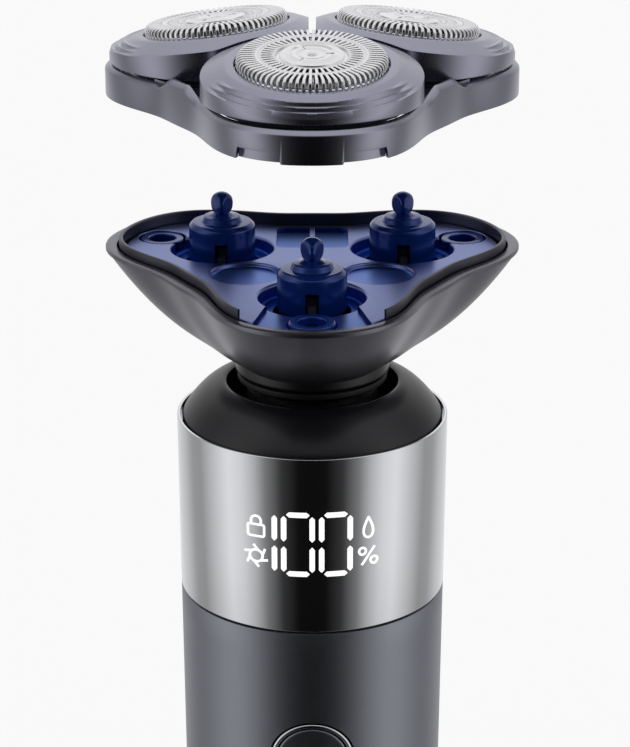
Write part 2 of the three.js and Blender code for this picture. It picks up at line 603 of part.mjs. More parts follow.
// Ring under the bowl with the two ears that ride on the gimbal along Y.
function neckRing() {
  const top = BOWL_BOTTOM - GAP;
  const bottom = 1.1;
  const body = turned([
    [GIMBAL.earInner - 0.3, bottom], [NECK_RING_RADIUS - 0.6, bottom],
    [NECK_RING_RADIUS, bottom + 0.6], [NECK_RING_RADIUS, top - 0.7],
    [NECK_RING_RADIUS - 0.7, top], [GIMBAL.earInner - 0.3, top], [GIMBAL.earInner - 0.3, bottom],
  ]);
  const earBottom = PIVOT - GIMBAL.trunnion - GAP - 0.6;
  const ears = gimbalEars(earBottom, bottom + 0.2).map((ear) => ear.rotate([0, 0, 90]));
  return cut(join(body, ...ears), rodY(GIMBAL.trunnion + GAP, -20, 20, PIVOT, 16));
}

const neckBoot = () => geometryOf(
  ring(NECK_RING_RADIUS - 0.3, GIMBAL.outer + GAP, -0.2, 1.1 - GAP, ROUND));

function gimbalRing() {
  const { inner, outer, height, trunnion, earInner } = GIMBAL;
  const hoop = ring(outer, inner, PIVOT - height / 2, PIVOT + height / 2, MEDIUM_ROUND);
  const reach = inner + 0.5;
  const start = earInner + 0.2;
  const pins = [
    rodX(trunnion, start, reach, 0, PIVOT, 12), rodX(trunnion, -reach, -start, 0, PIVOT, 12),
    rodY(trunnion, start, reach, PIVOT, 12), rodY(trunnion, -reach, -start, PIVOT, 12),
  ];
  return join(hoop, ...pins);
}

// Involute spur gear outline with a tooth centred on the phase angle.
function gearShape(teeth, phase) {
  const pressure = THREE.MathUtils.degToRad(GEAR.pressure);
  const pitch = (GEAR_MODULE * teeth) / 2;
  const base = pitch * Math.cos(pressure);
  const tip = pitch + GEAR.addendum * GEAR_MODULE;
  const root = pitch - GEAR.dedendum * GEAR_MODULE;
  const involute = (angle) => Math.tan(angle) - angle;
  const halfAtPitch = ((Math.PI * GEAR_MODULE) / 2 - GEAR.backlash) / (2 * pitch);
  const halfAt = (radius) => halfAtPitch + involute(pressure)
    - involute(Math.acos(Math.min(1, base / radius)));
  const start = Math.max(root, base);
  const flank = [start, tip];
  const side = root < base ? [root, ...flank] : flank;
  const points = [];
  for (let tooth = 0; tooth < teeth; tooth += 1) {
    const centre = phase + (2 * Math.PI * tooth) / teeth;
    for (const radius of side) points.push([radius, centre - halfAt(Math.max(radius, start))]);
    for (const radius of [...side].reverse()) {
      points.push([radius, centre + halfAt(Math.max(radius, start))]);
    }
  }
  return new THREE.Shape(points.map(([radius, angle]) => new THREE.Vector2(
    radius * Math.cos(angle), radius * Math.sin(angle))));
}

// Centre gear on its drive sleeve, which takes the motor's ball at the neck's pivot.
function sunGear() {
  const wheel = extrude(gearShape(SUN_TEETH, FRONT), GEAR.bottom, GEAR_TOP);
  const mouth = PIVOT - 1.4;
  const sleeve = disc(DRIVE_BALL.radius + 1.3, mouth, GEAR.bottom + 0.2, SMALL_ROUND);
  const flat = DRIVE_BALL.flat + 0.45;
  const socket = triangularPrism(flat, mouth - 1, PIVOT + DRIVE_BALL.radius + 0.5)
    .intersect(disc(DRIVE_BALL.radius + 0.45, mouth - 1, PIVOT + DRIVE_BALL.radius + 1, 18));
  return cut(join(wheel, sleeve), socket);
}

const HUB = { outer: SPINDLE.radius - SPINDLE.wall - GAP, wall: 1.1, top: 18.6, lugTop: 17.3 };
HUB.inner = HUB.outer - HUB.wall;
const HUB_FLOOR = GEAR.bottom + 0.4;

// Driven gear whose hub holds the spindle's spring and turns the spindle by three lugs.
function drivenGear() {
  const toothGap = Math.PI / 2 + Math.PI / DRIVEN_TEETH;
  const wheel = extrude(gearShape(DRIVEN_TEETH, toothGap), GEAR.bottom, GEAR_TOP);
  const hub = disc(HUB.outer, GEAR.bottom + 0.1, HUB.top, SMALL_ROUND);
  const lugs = threeTimes(() => box(1.2, SPINDLE.radius + 0.3 - HUB.inner - 0.4,
    HUB.lugTop - GEAR.bottom - 0.2, 0, -(SPINDLE.radius + 0.3 + HUB.inner + 0.4) / 2,
    (HUB.lugTop + GEAR.bottom + 0.2) / 2));
  const journal = disc(1.5, GEAR.bottom - 1.2, GEAR.bottom + 0.1, 16);
  const bore = disc(HUB.inner, HUB_FLOOR, HUB.top + 1, SMALL_ROUND);
  return cut(join(wheel, hub, journal, ...lugs), bore);
}

class Helix extends THREE.Curve {
  constructor(radius, bottom, top, turns) {
    super();
    Object.assign(this, { radius, bottom, top, turns });
  }

  getPoint(t, target = new THREE.Vector3()) {
    const angle = 2 * Math.PI * this.turns * t;
    return target.set(this.radius * Math.cos(angle), this.radius * Math.sin(angle),
      THREE.MathUtils.lerp(this.bottom, this.top, t));
  }
}

function spindleSpring() {
  const wire = 0.3;
  const radius = HUB.inner - GAP - wire;
  const bottom = HUB_FLOOR + GAP + wire;
  const top = SPINDLE.top - SPINDLE.wall - GAP - wire;
  const section = new THREE.Shape(Array.from({ length: 5 }, (_, i) => new THREE.Vector2(
    wire * Math.cos((2 * Math.PI * i) / 5), wire * Math.sin((2 * Math.PI * i) / 5))));
  return new THREE.ExtrudeGeometry(section, {
    steps: 36, extrudePath: new Helix(radius, bottom, top, 5),
  });
}

// Sprung cup with three slots and a flatted drive ball on a short neck.
function spindle() {
  const { radius, wall, bottom, shoulder, top, neck } = SPINDLE;
  const ceiling = top - wall;
  const cup = turned([
    [0, ceiling], [radius - wall, ceiling], [radius - wall, bottom], [radius, bottom],
    [radius, shoulder], [radius - 0.6, top], [radius * 0.55, top + 0.85],
    [neck + 0.3, top + 1.2], [neck, top + 1.5], [neck, BALL.height], [0, BALL.height],
  ], SMALL_ROUND);
  const slots = threeTimes(() => box(1.9, radius, HUB.lugTop + 2 - bottom + 1, 0, -radius,
    (HUB.lugTop + 2 + bottom - 1) / 2));
  return join(cut(cup, ...slots), driveBall(BALL.radius, BALL.flat, BALL.height));
}

function buildHeadBase() {
  const base = new THREE.Group();
  base.position.z = HEAD_DATUM;
  place(base, 'gimbal_ring', gimbalRing(), 'steel');
  place(base, 'neck_ring', neckRing(), 'shoulder');
  place(base, 'neck_boot', neckBoot(), 'rubber');
  place(base, 'head_bowl', headBowl(), 'bowl');
  place(base, 'seal_band', sealBand(), 'rubber');
  place(base, 'deck_plate', deckPlate(), 'deck');
  place(base, 'gear_floor', gearFloor(), 'black');
  place(base, 'sun_gear', sunGear(), 'acetal');
  for (let i = 0; i < 3; i += 1) {
    const turn = new THREE.Group();
    turn.rotation.z = (2 * Math.PI * i) / 3;
    const shaft = new THREE.Group();
    shaft.position.y = -SPINDLE_CIRCLE;
    turn.add(shaft);
    base.add(turn);
    place(turn, `magnet_${i + 1}`, magnet(), 'steel');
    place(shaft, `driven_gear_${i + 1}`, drivenGear(), 'acetal');
    place(shaft, `spindle_spring_${i + 1}`, spindleSpring(), 'steel');
    place(shaft, `spindle_${i + 1}`, spindle(), 'drive');
  }
  return base;
}

// ---- Head cap, modelled seated and then lifted by CAP_LIFT --------------------------------
const SKIRT_BOTTOM = RIM_TOP + GAP;
const WEB_BOTTOM = SKIRT_BOTTOM + 2.1;
const WEB_TOP = WEB_BOTTOM + CAP_WEB;
const HEAD_OPENING = CARRIER_RING.outer + 0.5;
const BEZEL_BOTTOM = TRUNNION.height + CARRIER_RING.height / 2 + GAP;
const SADDLE_TOP = BEZEL_BOTTOM - GAP;

function capFrame() {
  const tip = RIM_TIP - CAP_INSET;
  const peak = SKIRT_BOTTOM + CAP_DOME.tipHeight + tip * CAP_DOME.slope;
  const skirt = lobedRing(CAP_INSET, CAP_INSET + CAP_WALL, SKIRT_BOTTOM, peak);
  const dome = turned([
    [0, SKIRT_BOTTOM - 1], [tip + 1, SKIRT_BOTTOM - 1],
    [tip + 1, SKIRT_BOTTOM + CAP_DOME.tipHeight - CAP_DOME.slope], [0, peak],
  ]);
  const hollows = threeTimes(() => disc(BEZEL.radius + BEZEL.swing, BEZEL_BOTTOM - BEZEL.sink, peak)
    .translate([0, -SPINDLE_CIRCLE - BEZEL.offset, 0]));
  const collars = onLobes(() => disc(HEAD_OPENING + COLLAR.width, WEB_TOP - 0.1, COLLAR.top));
  const web = cut(join(lobedPlate(CAP_INSET + 0.2, WEB_BOTTOM, WEB_TOP), ...collars),
    disc(WEB_HOLE, WEB_BOTTOM - 1, COLLAR.top + 1));
  const saddles = threeTimes(() => join(...[-1, 1].map((side) => box(
    2.6, 3.4, SADDLE_TOP - WEB_TOP + 0.2, side * (CARRIER_RING.outer + TRUNNION.length + 0.3),
    -SPINDLE_CIRCLE, (SADDLE_TOP + WEB_TOP - 0.2) / 2))));
  const openings = onLobes(() => disc(HEAD_OPENING, WEB_BOTTOM - 1, WEB_TOP + 8));
  const slots = threeTimes(() => join(
    rodX(TRUNNION.radius + GAP, -20, 20, -SPINDLE_CIRCLE, TRUNNION.height, 16),
    box(40, 2 * (TRUNNION.radius + GAP), 3, 0, -SPINDLE_CIRCLE, TRUNNION.height + 1.5))
    .intersect(disc(CARRIER_RING.outer + TRUNNION.length + GAP, 0, 40).translate([0, -SPINDLE_CIRCLE, 0])));
  const notches = [-1, 1].map((side) => box(NOTCH.outer - NOTCH.inner, 8, NOTCH.height + 1,
    (side * (NOTCH.outer + NOTCH.inner)) / 2, -RIM_TIP + 2, SKIRT_BOTTOM + (NOTCH.height - 1) / 2));
  const frame = join(cut(skirt.intersect(dome), ...hollows), web, ...saddles);
  return cut(frame, ...openings, ...slots, ...notches);
}

// Turns a solid from the head's own leaning frame into the lobe's upright one.
const leaning = (body) => body.rotate([THREE.MathUtils.radToDeg(HEAD_LEAN), 0, 0])
  .translate([0, -SPINDLE_CIRCLE, BALL.height]);

// Floating surround of one cutting head: round outside, flat towards its two neighbours.
function bezel() {
  const { radius, offset, flat, seam, chamfer, slope } = BEZEL;
  const inner = FOIL.radius + GAP;
  const top = FOIL.top - seam;
  const edge = radius + 3;
  const counterbore = FOIL.radius + FOIL.flange + GAP;
  const shelf = FOIL.flangeBottom + FOIL.flangeHeight + GAP;
  const block = disc(radius, BEZEL_BOTTOM, BEZEL_BOTTOM + 9, FINE_ROUND)
    .translate([0, -SPINDLE_CIRCLE - offset, 0]);
  const sides = [-1, 1].map((side) => box(20, 80, 40, flat + 10, 0, BEZEL_BOTTOM)
    .rotate([0, 0, 90 - 30 * side]).translate([0, -SPINDLE_CIRCLE, 0]));
  const crown = leaning(turned([
    [0, -9], [edge, -9], [edge, top - 0.15 - slope * (edge - inner - chamfer)],
    [inner + chamfer, top - 0.15], [inner, top], [0, top],
  ]));
  const bore = leaning(join(disc(inner, -9, top + 2), disc(counterbore, -9, shelf)));
  return cut(block.intersect(crown), ...sides, bore);
}

function carrierRing() {
  const { outer, inner, height } = CARRIER_RING;
  const reach = outer + TRUNNION.length;
  const middle = TRUNNION.height;
  const bodyRing = ring(outer, inner, middle - height / 2, middle + height / 2, MEDIUM_ROUND);
  const stub = (from, to) => rodX(TRUNNION.radius, from, to, 0, middle, 12);
  return join(bodyRing, stub(outer - 0.5, reach), stub(-reach, -outer + 0.5))
    .translate([0, -SPINDLE_CIRCLE, 0]);
}

// Slotted guard drawn as a plain pan; its flange is held between bezel and carrier ring.
function foil() {
  const { radius, top, wall, flange, flangeBottom, flangeHeight } = FOIL;
  return lathe([
    [0, top - wall], [radius - wall, top - wall], [radius - wall, flangeBottom],
    [radius + flange, flangeBottom], [radius + flange, flangeBottom + flangeHeight],
    [radius, flangeBottom + flangeHeight], [radius, top - 0.25], [radius - 0.25, top], [0, top],
  ], MEDIUM_ROUND);
}

const BLADE_TOP = FOIL.top - FOIL.wall - 0.35;
const BLADE_ROOT = BLADE_TOP - CUTTER.bladeHeight - CUTTER.ring;
const CUTTER_RADIUS = FOIL.radius - FOIL.wall - 0.4;

function cutterBlades() {
  const hoop = ring(CUTTER_RADIUS - 0.1, CUTTER.inner, BLADE_ROOT, BLADE_ROOT + CUTTER.ring, MEDIUM_ROUND);
  const length = CUTTER_RADIUS - CUTTER.inner - 0.4;
  const blades = Array.from({ length: CUTTER.blades }, (_, i) => box(
    length, CUTTER.bladeWidth, CUTTER.bladeHeight + 0.1, CUTTER.inner + 0.1 + length / 2, 0,
    BLADE_TOP - (CUTTER.bladeHeight + 0.1) / 2).rotate([0, 0, (360 * i) / CUTTER.blades]));
  return join(hoop, ...blades);
}

// Plastic carrier under the blades with the socket that the spindle's ball drives.
function cutterHub() {
  const discTop = BLADE_ROOT - GAP;
  const body = turned([
    [0, -0.9], [CUTTER.hubRadius, -0.9], [CUTTER.hubRadius, discTop - 0.8],
    [CUTTER_RADIUS - 0.5, discTop - 0.8], [CUTTER_RADIUS - 0.5, discTop], [0, discTop],
  ], MEDIUM_ROUND);
  const socket = triangularPrism(BALL.flat + 0.45, -2, BALL.radius + 0.3)
    .intersect(disc(BALL.radius + 0.4, -2, BALL.radius + 1, 18));
  return cut(body, socket);
}

function buildHeadCap() {
  const cap = new THREE.Group();
  cap.position.z = HEAD_DATUM + CAP_LIFT;
  place(cap, 'cap_frame', capFrame(), 'cap');
  for (let i = 0; i < 3; i += 1) {
    const lobeGroup = new THREE.Group();
    lobeGroup.rotation.z = (2 * Math.PI * i) / 3;
    const lean = new THREE.Group();
    lean.position.set(0, -SPINDLE_CIRCLE, BALL.height);
    lean.rotation.x = HEAD_LEAN;
    lobeGroup.add(lean);
    cap.add(lobeGroup);
    place(lobeGroup, `bezel_${i + 1}`, bezel(), 'bezel');
    place(lobeGroup, `carrier_ring_${i + 1}`, carrierRing(), 'black');
    place(lean, `foil_${i + 1}`, foil(), 'steel');
    place(lean, `cutter_blades_${i + 1}`, cutterBlades(), 'steel');
    place(lean, `cutter_hub_${i + 1}`, cutterHub(), 'acetal');
  }
  return cap;
}

const shaver = new THREE.Group();
shaver.add(buildHandle(), buildHeadBase(), buildHeadCap());
export default shaver;
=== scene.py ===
import json
import math

import bmesh
import bpy
import numpy as np
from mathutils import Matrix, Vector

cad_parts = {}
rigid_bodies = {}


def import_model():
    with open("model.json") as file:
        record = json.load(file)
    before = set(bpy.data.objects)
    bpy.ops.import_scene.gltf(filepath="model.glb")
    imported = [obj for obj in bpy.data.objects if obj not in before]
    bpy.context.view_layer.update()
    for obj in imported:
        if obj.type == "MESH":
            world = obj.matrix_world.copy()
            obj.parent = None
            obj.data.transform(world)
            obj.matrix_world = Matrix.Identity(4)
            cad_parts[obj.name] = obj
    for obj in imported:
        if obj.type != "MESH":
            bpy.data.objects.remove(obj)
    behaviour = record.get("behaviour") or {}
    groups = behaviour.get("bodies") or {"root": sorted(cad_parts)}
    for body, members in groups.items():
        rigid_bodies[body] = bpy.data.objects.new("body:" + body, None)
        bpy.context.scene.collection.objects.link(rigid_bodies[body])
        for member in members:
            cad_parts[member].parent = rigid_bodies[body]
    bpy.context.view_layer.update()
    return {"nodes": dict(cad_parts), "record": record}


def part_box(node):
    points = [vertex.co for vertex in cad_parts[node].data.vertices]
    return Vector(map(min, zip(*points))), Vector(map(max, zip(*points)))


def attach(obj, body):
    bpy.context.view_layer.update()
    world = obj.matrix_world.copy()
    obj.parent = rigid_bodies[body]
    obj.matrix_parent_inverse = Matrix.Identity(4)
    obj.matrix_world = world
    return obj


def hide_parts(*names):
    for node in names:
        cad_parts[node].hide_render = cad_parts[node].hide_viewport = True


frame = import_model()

bl_info = {
    "name": "Rotary shaver",
    "version": (1, 0, 0),
    "blender": (4, 5, 0),
    "location": "View3D > Sidebar > Shaver",
    "description": "Smooth visual pieces of a three-head rotary shaver, drawn over its CAD frame",
    "category": "Object",
}

MM = 0.001


def low(node):
    """Lowest corner of a CAD node in millimetres."""
    return np.array(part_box(node)[0]) / MM


def high(node):
    """Highest corner of a CAD node in millimetres."""
    return np.array(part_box(node)[1]) / MM


# ---- Sizes in millimetres ----------------------------------------------------------------
GAP = 0.3
HANDLE_RADIUS = high("display_sleeve")[0]
HANDLE_TOP = high("display_sleeve")[2]
HANDLE_TAPER = 0.008
SLEEVE_BOTTOM = low("display_sleeve")[2]
SLEEVE_WALL = 1.2
SLEEVE_REBATE = 2.0
GRIP_WALL = 1.8
GRIP_TOP = SLEEVE_BOTTOM - GAP
SPIGOT_TOP = high("grip_shell")[2]
END_CAP_TOP = high("end_cap")[2]
END_CAP_SEAM = low("grip_shell")[2] - GAP
END_CAP_FLOOR = 2.2
BASE_ROUNDING = 2.5
SHOULDER_EDGE = high("shoulder_ring")[2]
NECK_HOLE_RADIUS = 12.9
BUTTON_Z = (low("power_button")[2] + high("power_button")[2]) / 2
BUTTON_RADIUS = high("power_button")[0]
TRIM_OUTER = high("button_trim_ring")[0]
BUTTON_HOLE = TRIM_OUTER + GAP
BUTTON_BACK = high("button_trim_ring")[1]
BUTTON_STEM_END = high("power_button")[1]

HEAD = low("head_bowl")[2] - 3.9  # the head's own heights are counted from here
PIVOT = -2.5
NECK_RING_RADIUS = high("neck_ring")[0]
NECK_RING_INNER = 6.3
NECK_RADIUS = 12.0
BOWL_BOTTOM = 3.9
RIM_TIP = -low("head_bowl")[1]
RIM_WAIST = RIM_TIP - 10.65
RIM_TOP = high("head_bowl")[2] - HEAD
RIM_LIP = 0.7
LIP_STEP = 0.3
BOWL_WALL = 1.3
SEAL_INSET = 2.1
SEAL_WIDTH = 0.75
SEAL_TOP = high("seal_band")[2] - HEAD
SEAL_OPENING = 20.6
DECK_TOP = high("deck_plate")[2] - HEAD
DECK_PLATE = 1.2
DECK_INSET = SEAL_INSET + SEAL_WIDTH + GAP
WELL_RADIUS = 7.7
WELL_TOP = DECK_TOP - 2.2
WELL_FLOOR = 0.8
SPINDLE_CIRCLE = -(low("spindle_1")[1] + high("spindle_1")[1]) / 2
SPINDLE_HOLE = 5.65
SPINDLE_RADIUS = 5.0
SPINDLE_WALL = 0.8
SPINDLE_BOTTOM = low("spindle_1")[2] - HEAD
SPINDLE_TOP = 21.68
BALL_RADIUS = 1.85
BALL_FLAT = 1.2
BALL_HEIGHT = high("spindle_1")[2] - HEAD - BALL_RADIUS
REAR_RECESS = (11.0, 10.6, 13.1)
MAGNET_CIRCLE = -(low("magnet_1")[1] + high("magnet_1")[1]) / 2
MAGNET_RADIUS = high("magnet_1")[0]
MAGNET_HOLE = 2.0
MAGNET_BOTTOM = low("magnet_1")[2] - HEAD
MAGNET_TOP = high("magnet_1")[2] - HEAD

CAP_INSET = 0.7
CAP_WALL = 1.1
CAP_SKIRT = RIM_TOP + GAP
CAP = low("cap_frame")[2] - CAP_SKIRT  # the lifted cap's own heights are counted from here
CAP_DOME_RISE = 4.9
CAP_DOME_SLOPE = 0.12
CAP_CHAMFER = 0.7
WEB_BOTTOM = CAP_SKIRT + 2.1
WEB_TOP = WEB_BOTTOM + 1.2
NOTCH = (4.4, 10.2, 1.6)
CARRIER_OUTER = 13.3
TRUNNION_HEIGHT = 22.75
TRUNNION_RADIUS = 0.55
LEAN = math.radians(7.75)
FOIL_RADIUS = 10.55
FOIL_TOP = 5.35
FOIL_FLANGE = 0.85
FOIL_FLANGE_BOTTOM = 2.6
FOIL_FLANGE_TOP = 3.2
FOIL_SHEET = 0.22
BEZEL_RADIUS = 15.5
BEZEL_OFFSET = 0.9
BEZEL_FLAT = 13.1
BEZEL_BOTTOM = low("bezel_1")[2] - CAP
BEZEL_TOP = FOIL_TOP - 1.27
BEZEL_CHAMFER = 1.45
BEZEL_SLOPE = 0.43
TERRACE_DEPTH = 1.9
BEZEL_SINK = 0.65
COLLAR_TOP = 22.45
COLLAR_WIDTH = 0.6
WEB_HOLE = 8.0

FRONT = -math.pi / 2
BODY_OF = {
    node: body
    for body, nodes in frame["record"]["behaviour"]["bodies"].items()
    for node in nodes
}


# ---- Surfaces ------------------------------------------------------------------------------
def smoothstep(value, start, end):
    """0 before start, 1 after end and 3t^2 - 2t^3 between them."""
    t = np.clip((value - start) / (end - start), 0, 1)
    return t * t * (3 - 2 * t)


def rounded(points, size, steps=4):
    """A closed outline whose corners are quadratic arcs (1-t)^2 a + 2t(1-t) p + t^2 b of about the given size."""
    points = np.asarray(points, float)
    sizes = np.broadcast_to(size, len(points))
    t = np.linspace(0, 1, steps + 1)[:, None]
    corners = []
    for before, corner, after, reach in zip(np.roll(points, 1, 0), points, np.roll(points, -1, 0), sizes):
        if reach == 0:
            corners.append(corner[None])
            continue
        start = corner + (before - corner) * min(0.45, reach / np.linalg.norm(before - corner))
        end = corner + (after - corner) * min(0.45, reach / np.linalg.norm(after - corner))
        corners.append((1 - t) ** 2 * start + 2 * t * (1 - t) * corner + t * t * end)
    return np.vstack(corners)


def shell(grid, loop_rows=True, loop_columns=True, keep=None):
    """Points and quads of a grid of rows x columns points, wrapped in the looped directions."""
    rows, columns = grid.shape[:2]
    i, j = np.meshgrid(
        np.arange(rows - (not loop_rows)), np.arange(columns - (not loop_columns)), indexing="ij"
    )
    right, down = (j + 1) % columns, (i + 1) % rows
    faces = np.stack(
        [i * columns + j, i * columns + right, down * columns + right, down * columns + j], axis=-1
    )
    faces = faces[keep] if keep is not None else faces.reshape(-1, 4)
    return grid.reshape(-1, 3), faces.tolist()


def angles(count):
    """Equal angles round a full turn, starting at the front."""
    return FRONT + np.arange(count) * 2 * np.pi / count


def swept(profile, radius_of, lift=0.0, count=288):
    """Closed profile rows (value, z) swept round Z: point = (r cos a, r sin a, z), r = radius_of(value, a)."""
    turn = angles(count)[None, :]
    value, z = profile[:, :1], profile[:, 1:2]
    radius = radius_of(value, turn)
    return shell(np.stack([radius * np.cos(turn), radius * np.sin(turn), z + lift + 0 * radius], axis=-1))


def turned(profile, lift=0.0, count=192):
    """Closed (radius, z) profile turned about Z."""
    return swept(np.asarray(profile, float), lambda radius, turn: radius + 0 * turn, lift, count)


def lobe(turn):
    """1 at a lobe's tip and 0 midway between lobes: a short cosine series in three times the angle."""
    a = turn - FRONT
    return 0.4855 + 0.537 * np.cos(3 * a) + 0.0147 * np.cos(6 * a) - 0.0372 * np.cos(9 * a)


def rim_radius(inset, turn):
    """The three-lobed rim's radius, moved inwards by inset."""
    return RIM_WAIST + (RIM_TIP - RIM_WAIST) * lobe(turn) - inset


def lobed_block(inset, bottom, top):
    """A solid three-lobed block: share * (r cos a, r sin a) at each level, share 0 closing its ends."""
    turn = angles(360)
    share = np.array([0, 1, 1, 0])[:, None]
    z = np.array([bottom, bottom, top, top])[:, None] + 0 * turn
    radius = share * rim_radius(inset, turn)
    return shell(np.stack([radius * np.cos(turn), radius * np.sin(turn), z], axis=-1))


def moved(part, x=0.0, y=0.0, z=0.0):
    """A shell shifted by x, y, z."""
    points, faces = part
    return points + np.array([x, y, z]), faces


def turned_about_z(part, turn):
    """A shell turned about Z."""
    points, faces = part
    c, s = math.cos(turn), math.sin(turn)
    return points @ np.array([[c, s, 0], [-s, c, 0], [0, 0, 1]]), faces


def leaning(points):
    """Points of a head's own frame in its lobe's upright frame: turned about X and set on the spindle's ball."""
    c, s = math.cos(LEAN), math.sin(LEAN)
    x, y, z = points[..., 0], points[..., 1], points[..., 2]
    return np.stack([x, y * c - z * s - SPINDLE_CIRCLE, y * s + z * c + BALL_HEIGHT], axis=-1)


def on_spindle(part, i):
    """A shell made about Z, moved onto spindle i."""
    return turned_about_z(moved(part, y=-SPINDLE_CIRCLE), i * 2 * math.pi / 3)


def block(size, centre, edge=0.15):
    """A box with soft vertical edges: a rounded rectangle between two flat ends."""
    half_x, half_y, half_z = (value / 2 for value in size)
    corners = [(-half_x, -half_y), (half_x, -half_y), (half_x, half_y), (-half_x, half_y)]
    outline = rounded(corners, min(edge, half_x, half_y), 2)
    rows = [(0, -half_z), (1, -half_z), (1, half_z), (0, half_z)]
    grid = np.array([[(x * grow, y * grow, z) for x, y in outline] for grow, z in rows])
    return moved(shell(grid), *centre)


def drive_ball(radius, flat):
    """A ball with three soft flats: 1/r^p = 1/R^p + sum((d.n)+ / flat)^p along each direction d."""
    steepness = 14
    polar, turn = np.meshgrid(np.linspace(0, np.pi, 41), angles(96), indexing="ij")
    direction = np.stack(
        [np.sin(polar) * np.cos(turn), np.sin(polar) * np.sin(turn), np.cos(polar)], axis=-1
    )
    total = np.full(polar.shape, radius**-steepness)
    for k in range(3):
        facing = FRONT + math.pi / 3 + k * 2 * math.pi / 3
        toward = direction @ np.array([math.cos(facing), math.sin(facing), 0])
        total += (np.clip(toward, 0, None) / flat) ** steepness
    return shell(direction * total[..., None] ** (-1 / steepness), loop_rows=False)


# ---- Pieces --------------------------------------------------------------------------------
def mesh_of(name, shells):
    """One mesh from shells in millimetres: doubled points merged, the loose edges that a closed axis
    leaves taken out, faces pointing outwards."""
    points, faces, start = [], [], 0
    for part_points, part_faces in shells:
        points.append(part_points)
        faces += [[start + index for index in face] for face in part_faces]
        start += len(part_points)
    mesh = bpy.data.meshes.new(name)
    mesh.from_pydata(np.vstack(points) * MM, [], faces)
    work = bmesh.new()
    work.from_mesh(mesh)
    bmesh.ops.remove_doubles(work, verts=work.verts, dist=2e-7)
    bmesh.ops.delete(work, geom=[edge for edge in work.edges if edge.is_wire], context="EDGES")
    bmesh.ops.recalc_face_normals(work, faces=work.faces)
    work.to_mesh(mesh)
    work.free()
    return mesh


def linked(name, shells):
    """A new object in the scene from shells."""
    made = bpy.data.objects.new(name, mesh_of(name, shells))
    bpy.context.scene.collection.objects.link(made)
    return made


def combined(piece, tools, operation):
    """The piece's mesh after a Boolean with each tool's shells."""
    group = bpy.data.collections.new("tools")
    bpy.context.scene.collection.children.link(group)
    for i, tool in enumerate(tools):
        group.objects.link(bpy.data.objects.new(f"tool_{i}", mesh_of(f"tool_{i}", [tool])))
    step = piece.modifiers.new("combine", "BOOLEAN")
    step.operation, step.operand_type, step.solver, step.collection = operation, "COLLECTION", "MANIFOLD", group
    bpy.context.view_layer.update()
    result = bpy.data.meshes.new_from_object(piece.evaluated_get(bpy.context.evaluated_depsgraph_get()))
    piece.modifiers.clear()
    piece.data = result
    for tool in list(group.objects):
        bpy.data.objects.remove(tool)
    bpy.data.collections.remove(group)


def finish_piece(piece, node, look, angle=32, weighted=False):
    """Shading, material and body of a finished piece that stands for a CAD node, whose CAD node it hides."""
    mesh = piece.data
    mesh.materials.clear()
    mesh.materials.append(material(look))
    mesh.shade_smooth()
    mesh.set_sharp_from_angle(angle=math.radians(angle))
    if weighted:
        normals = piece.modifiers.new("normals", "WEIGHTED_NORMAL")
        normals.keep_sharp = True
    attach(piece, BODY_OF[node])
    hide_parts(node)
    return piece


def piece_of(node, shells, look, angle=32, weighted=False):
    """The visual piece of one CAD node."""
    return finish_piece(linked(f"{node}_skin", shells), node, look, angle, weighted)


# ---- Materials -------------------------------------------------------------------------------
PREFIX = "shaver_"
# base colour, metallic, roughness, coat, and how much the grain moves the roughness
LOOKS = {
    "grip": ((0.35, 0.365, 0.41), 1.0, 0.38, 0.0, 0.03),
    "sleeve": ((0.88, 0.89, 0.91), 1.0, 0.11, 0.0, 0.01),
    "shoulder": ((0.017, 0.017, 0.021), 0.0, 0.30, 0.0, 0.02),
    "bowl": ((0.22, 0.22, 0.25), 1.0, 0.34, 0.0, 0.02),
    "cap": ((0.38, 0.38, 0.46), 1.0, 0.24, 0.0, 0.02),
    "bezel": ((0.40, 0.40, 0.49), 1.0, 0.27, 0.0, 0.02),
    "foil": ((0.95, 0.95, 0.96), 1.0, 0.20, 0.0, 0.03),
    "steel": ((0.62, 0.63, 0.65), 1.0, 0.28, 0.0, 0.04),
    "brass": ((0.72, 0.52, 0.24), 1.0, 0.35, 0.0, 0.05),
    "drive": ((0.006, 0.045, 0.30), 0.35, 0.20, 0.3, 0.02),
    "acetal": ((0.035, 0.04, 0.06), 0.0, 0.40, 0.0, 0.05),
    "rubber": ((0.010, 0.010, 0.012), 0.0, 0.55, 0.0, 0.05),
    "seal": ((0.10, 0.10, 0.125), 0.9, 0.32, 0.0, 0.02),
    "black": ((0.018, 0.018, 0.022), 0.0, 0.50, 0.0, 0.05),
    "board": ((0.015, 0.11, 0.045), 0.0, 0.50, 0.3, 0.05),
    "wrap": ((0.03, 0.16, 0.42), 0.0, 0.40, 0.3, 0.03),
    "lens": ((0.90, 0.91, 0.93), 0.0, 0.30, 0.0, 0.02),
}


def grain_group():
    """Node group: Object position to a fine noise value from 0 to 1."""
    group = bpy.data.node_groups.get("surface_grain")
    if group:
        return group
    group = bpy.data.node_groups.new("surface_grain", "ShaderNodeTree")
    group.interface.new_socket("Position", in_out="INPUT", socket_type="NodeSocketVector")
    group.interface.new_socket("Grain", in_out="OUTPUT", socket_type="NodeSocketFloat")
    nodes, links = group.nodes, group.links
    source, drain = nodes.new("NodeGroupInput"), nodes.new("NodeGroupOutput")
    noise = nodes.new("ShaderNodeTexNoise")
    noise.inputs["Scale"].default_value = 900
    noise.inputs["Detail"].default_value = 3
    links.new(source.outputs["Position"], noise.inputs["Vector"])
    links.new(noise.outputs["Fac"], drain.inputs["Grain"])
    return group


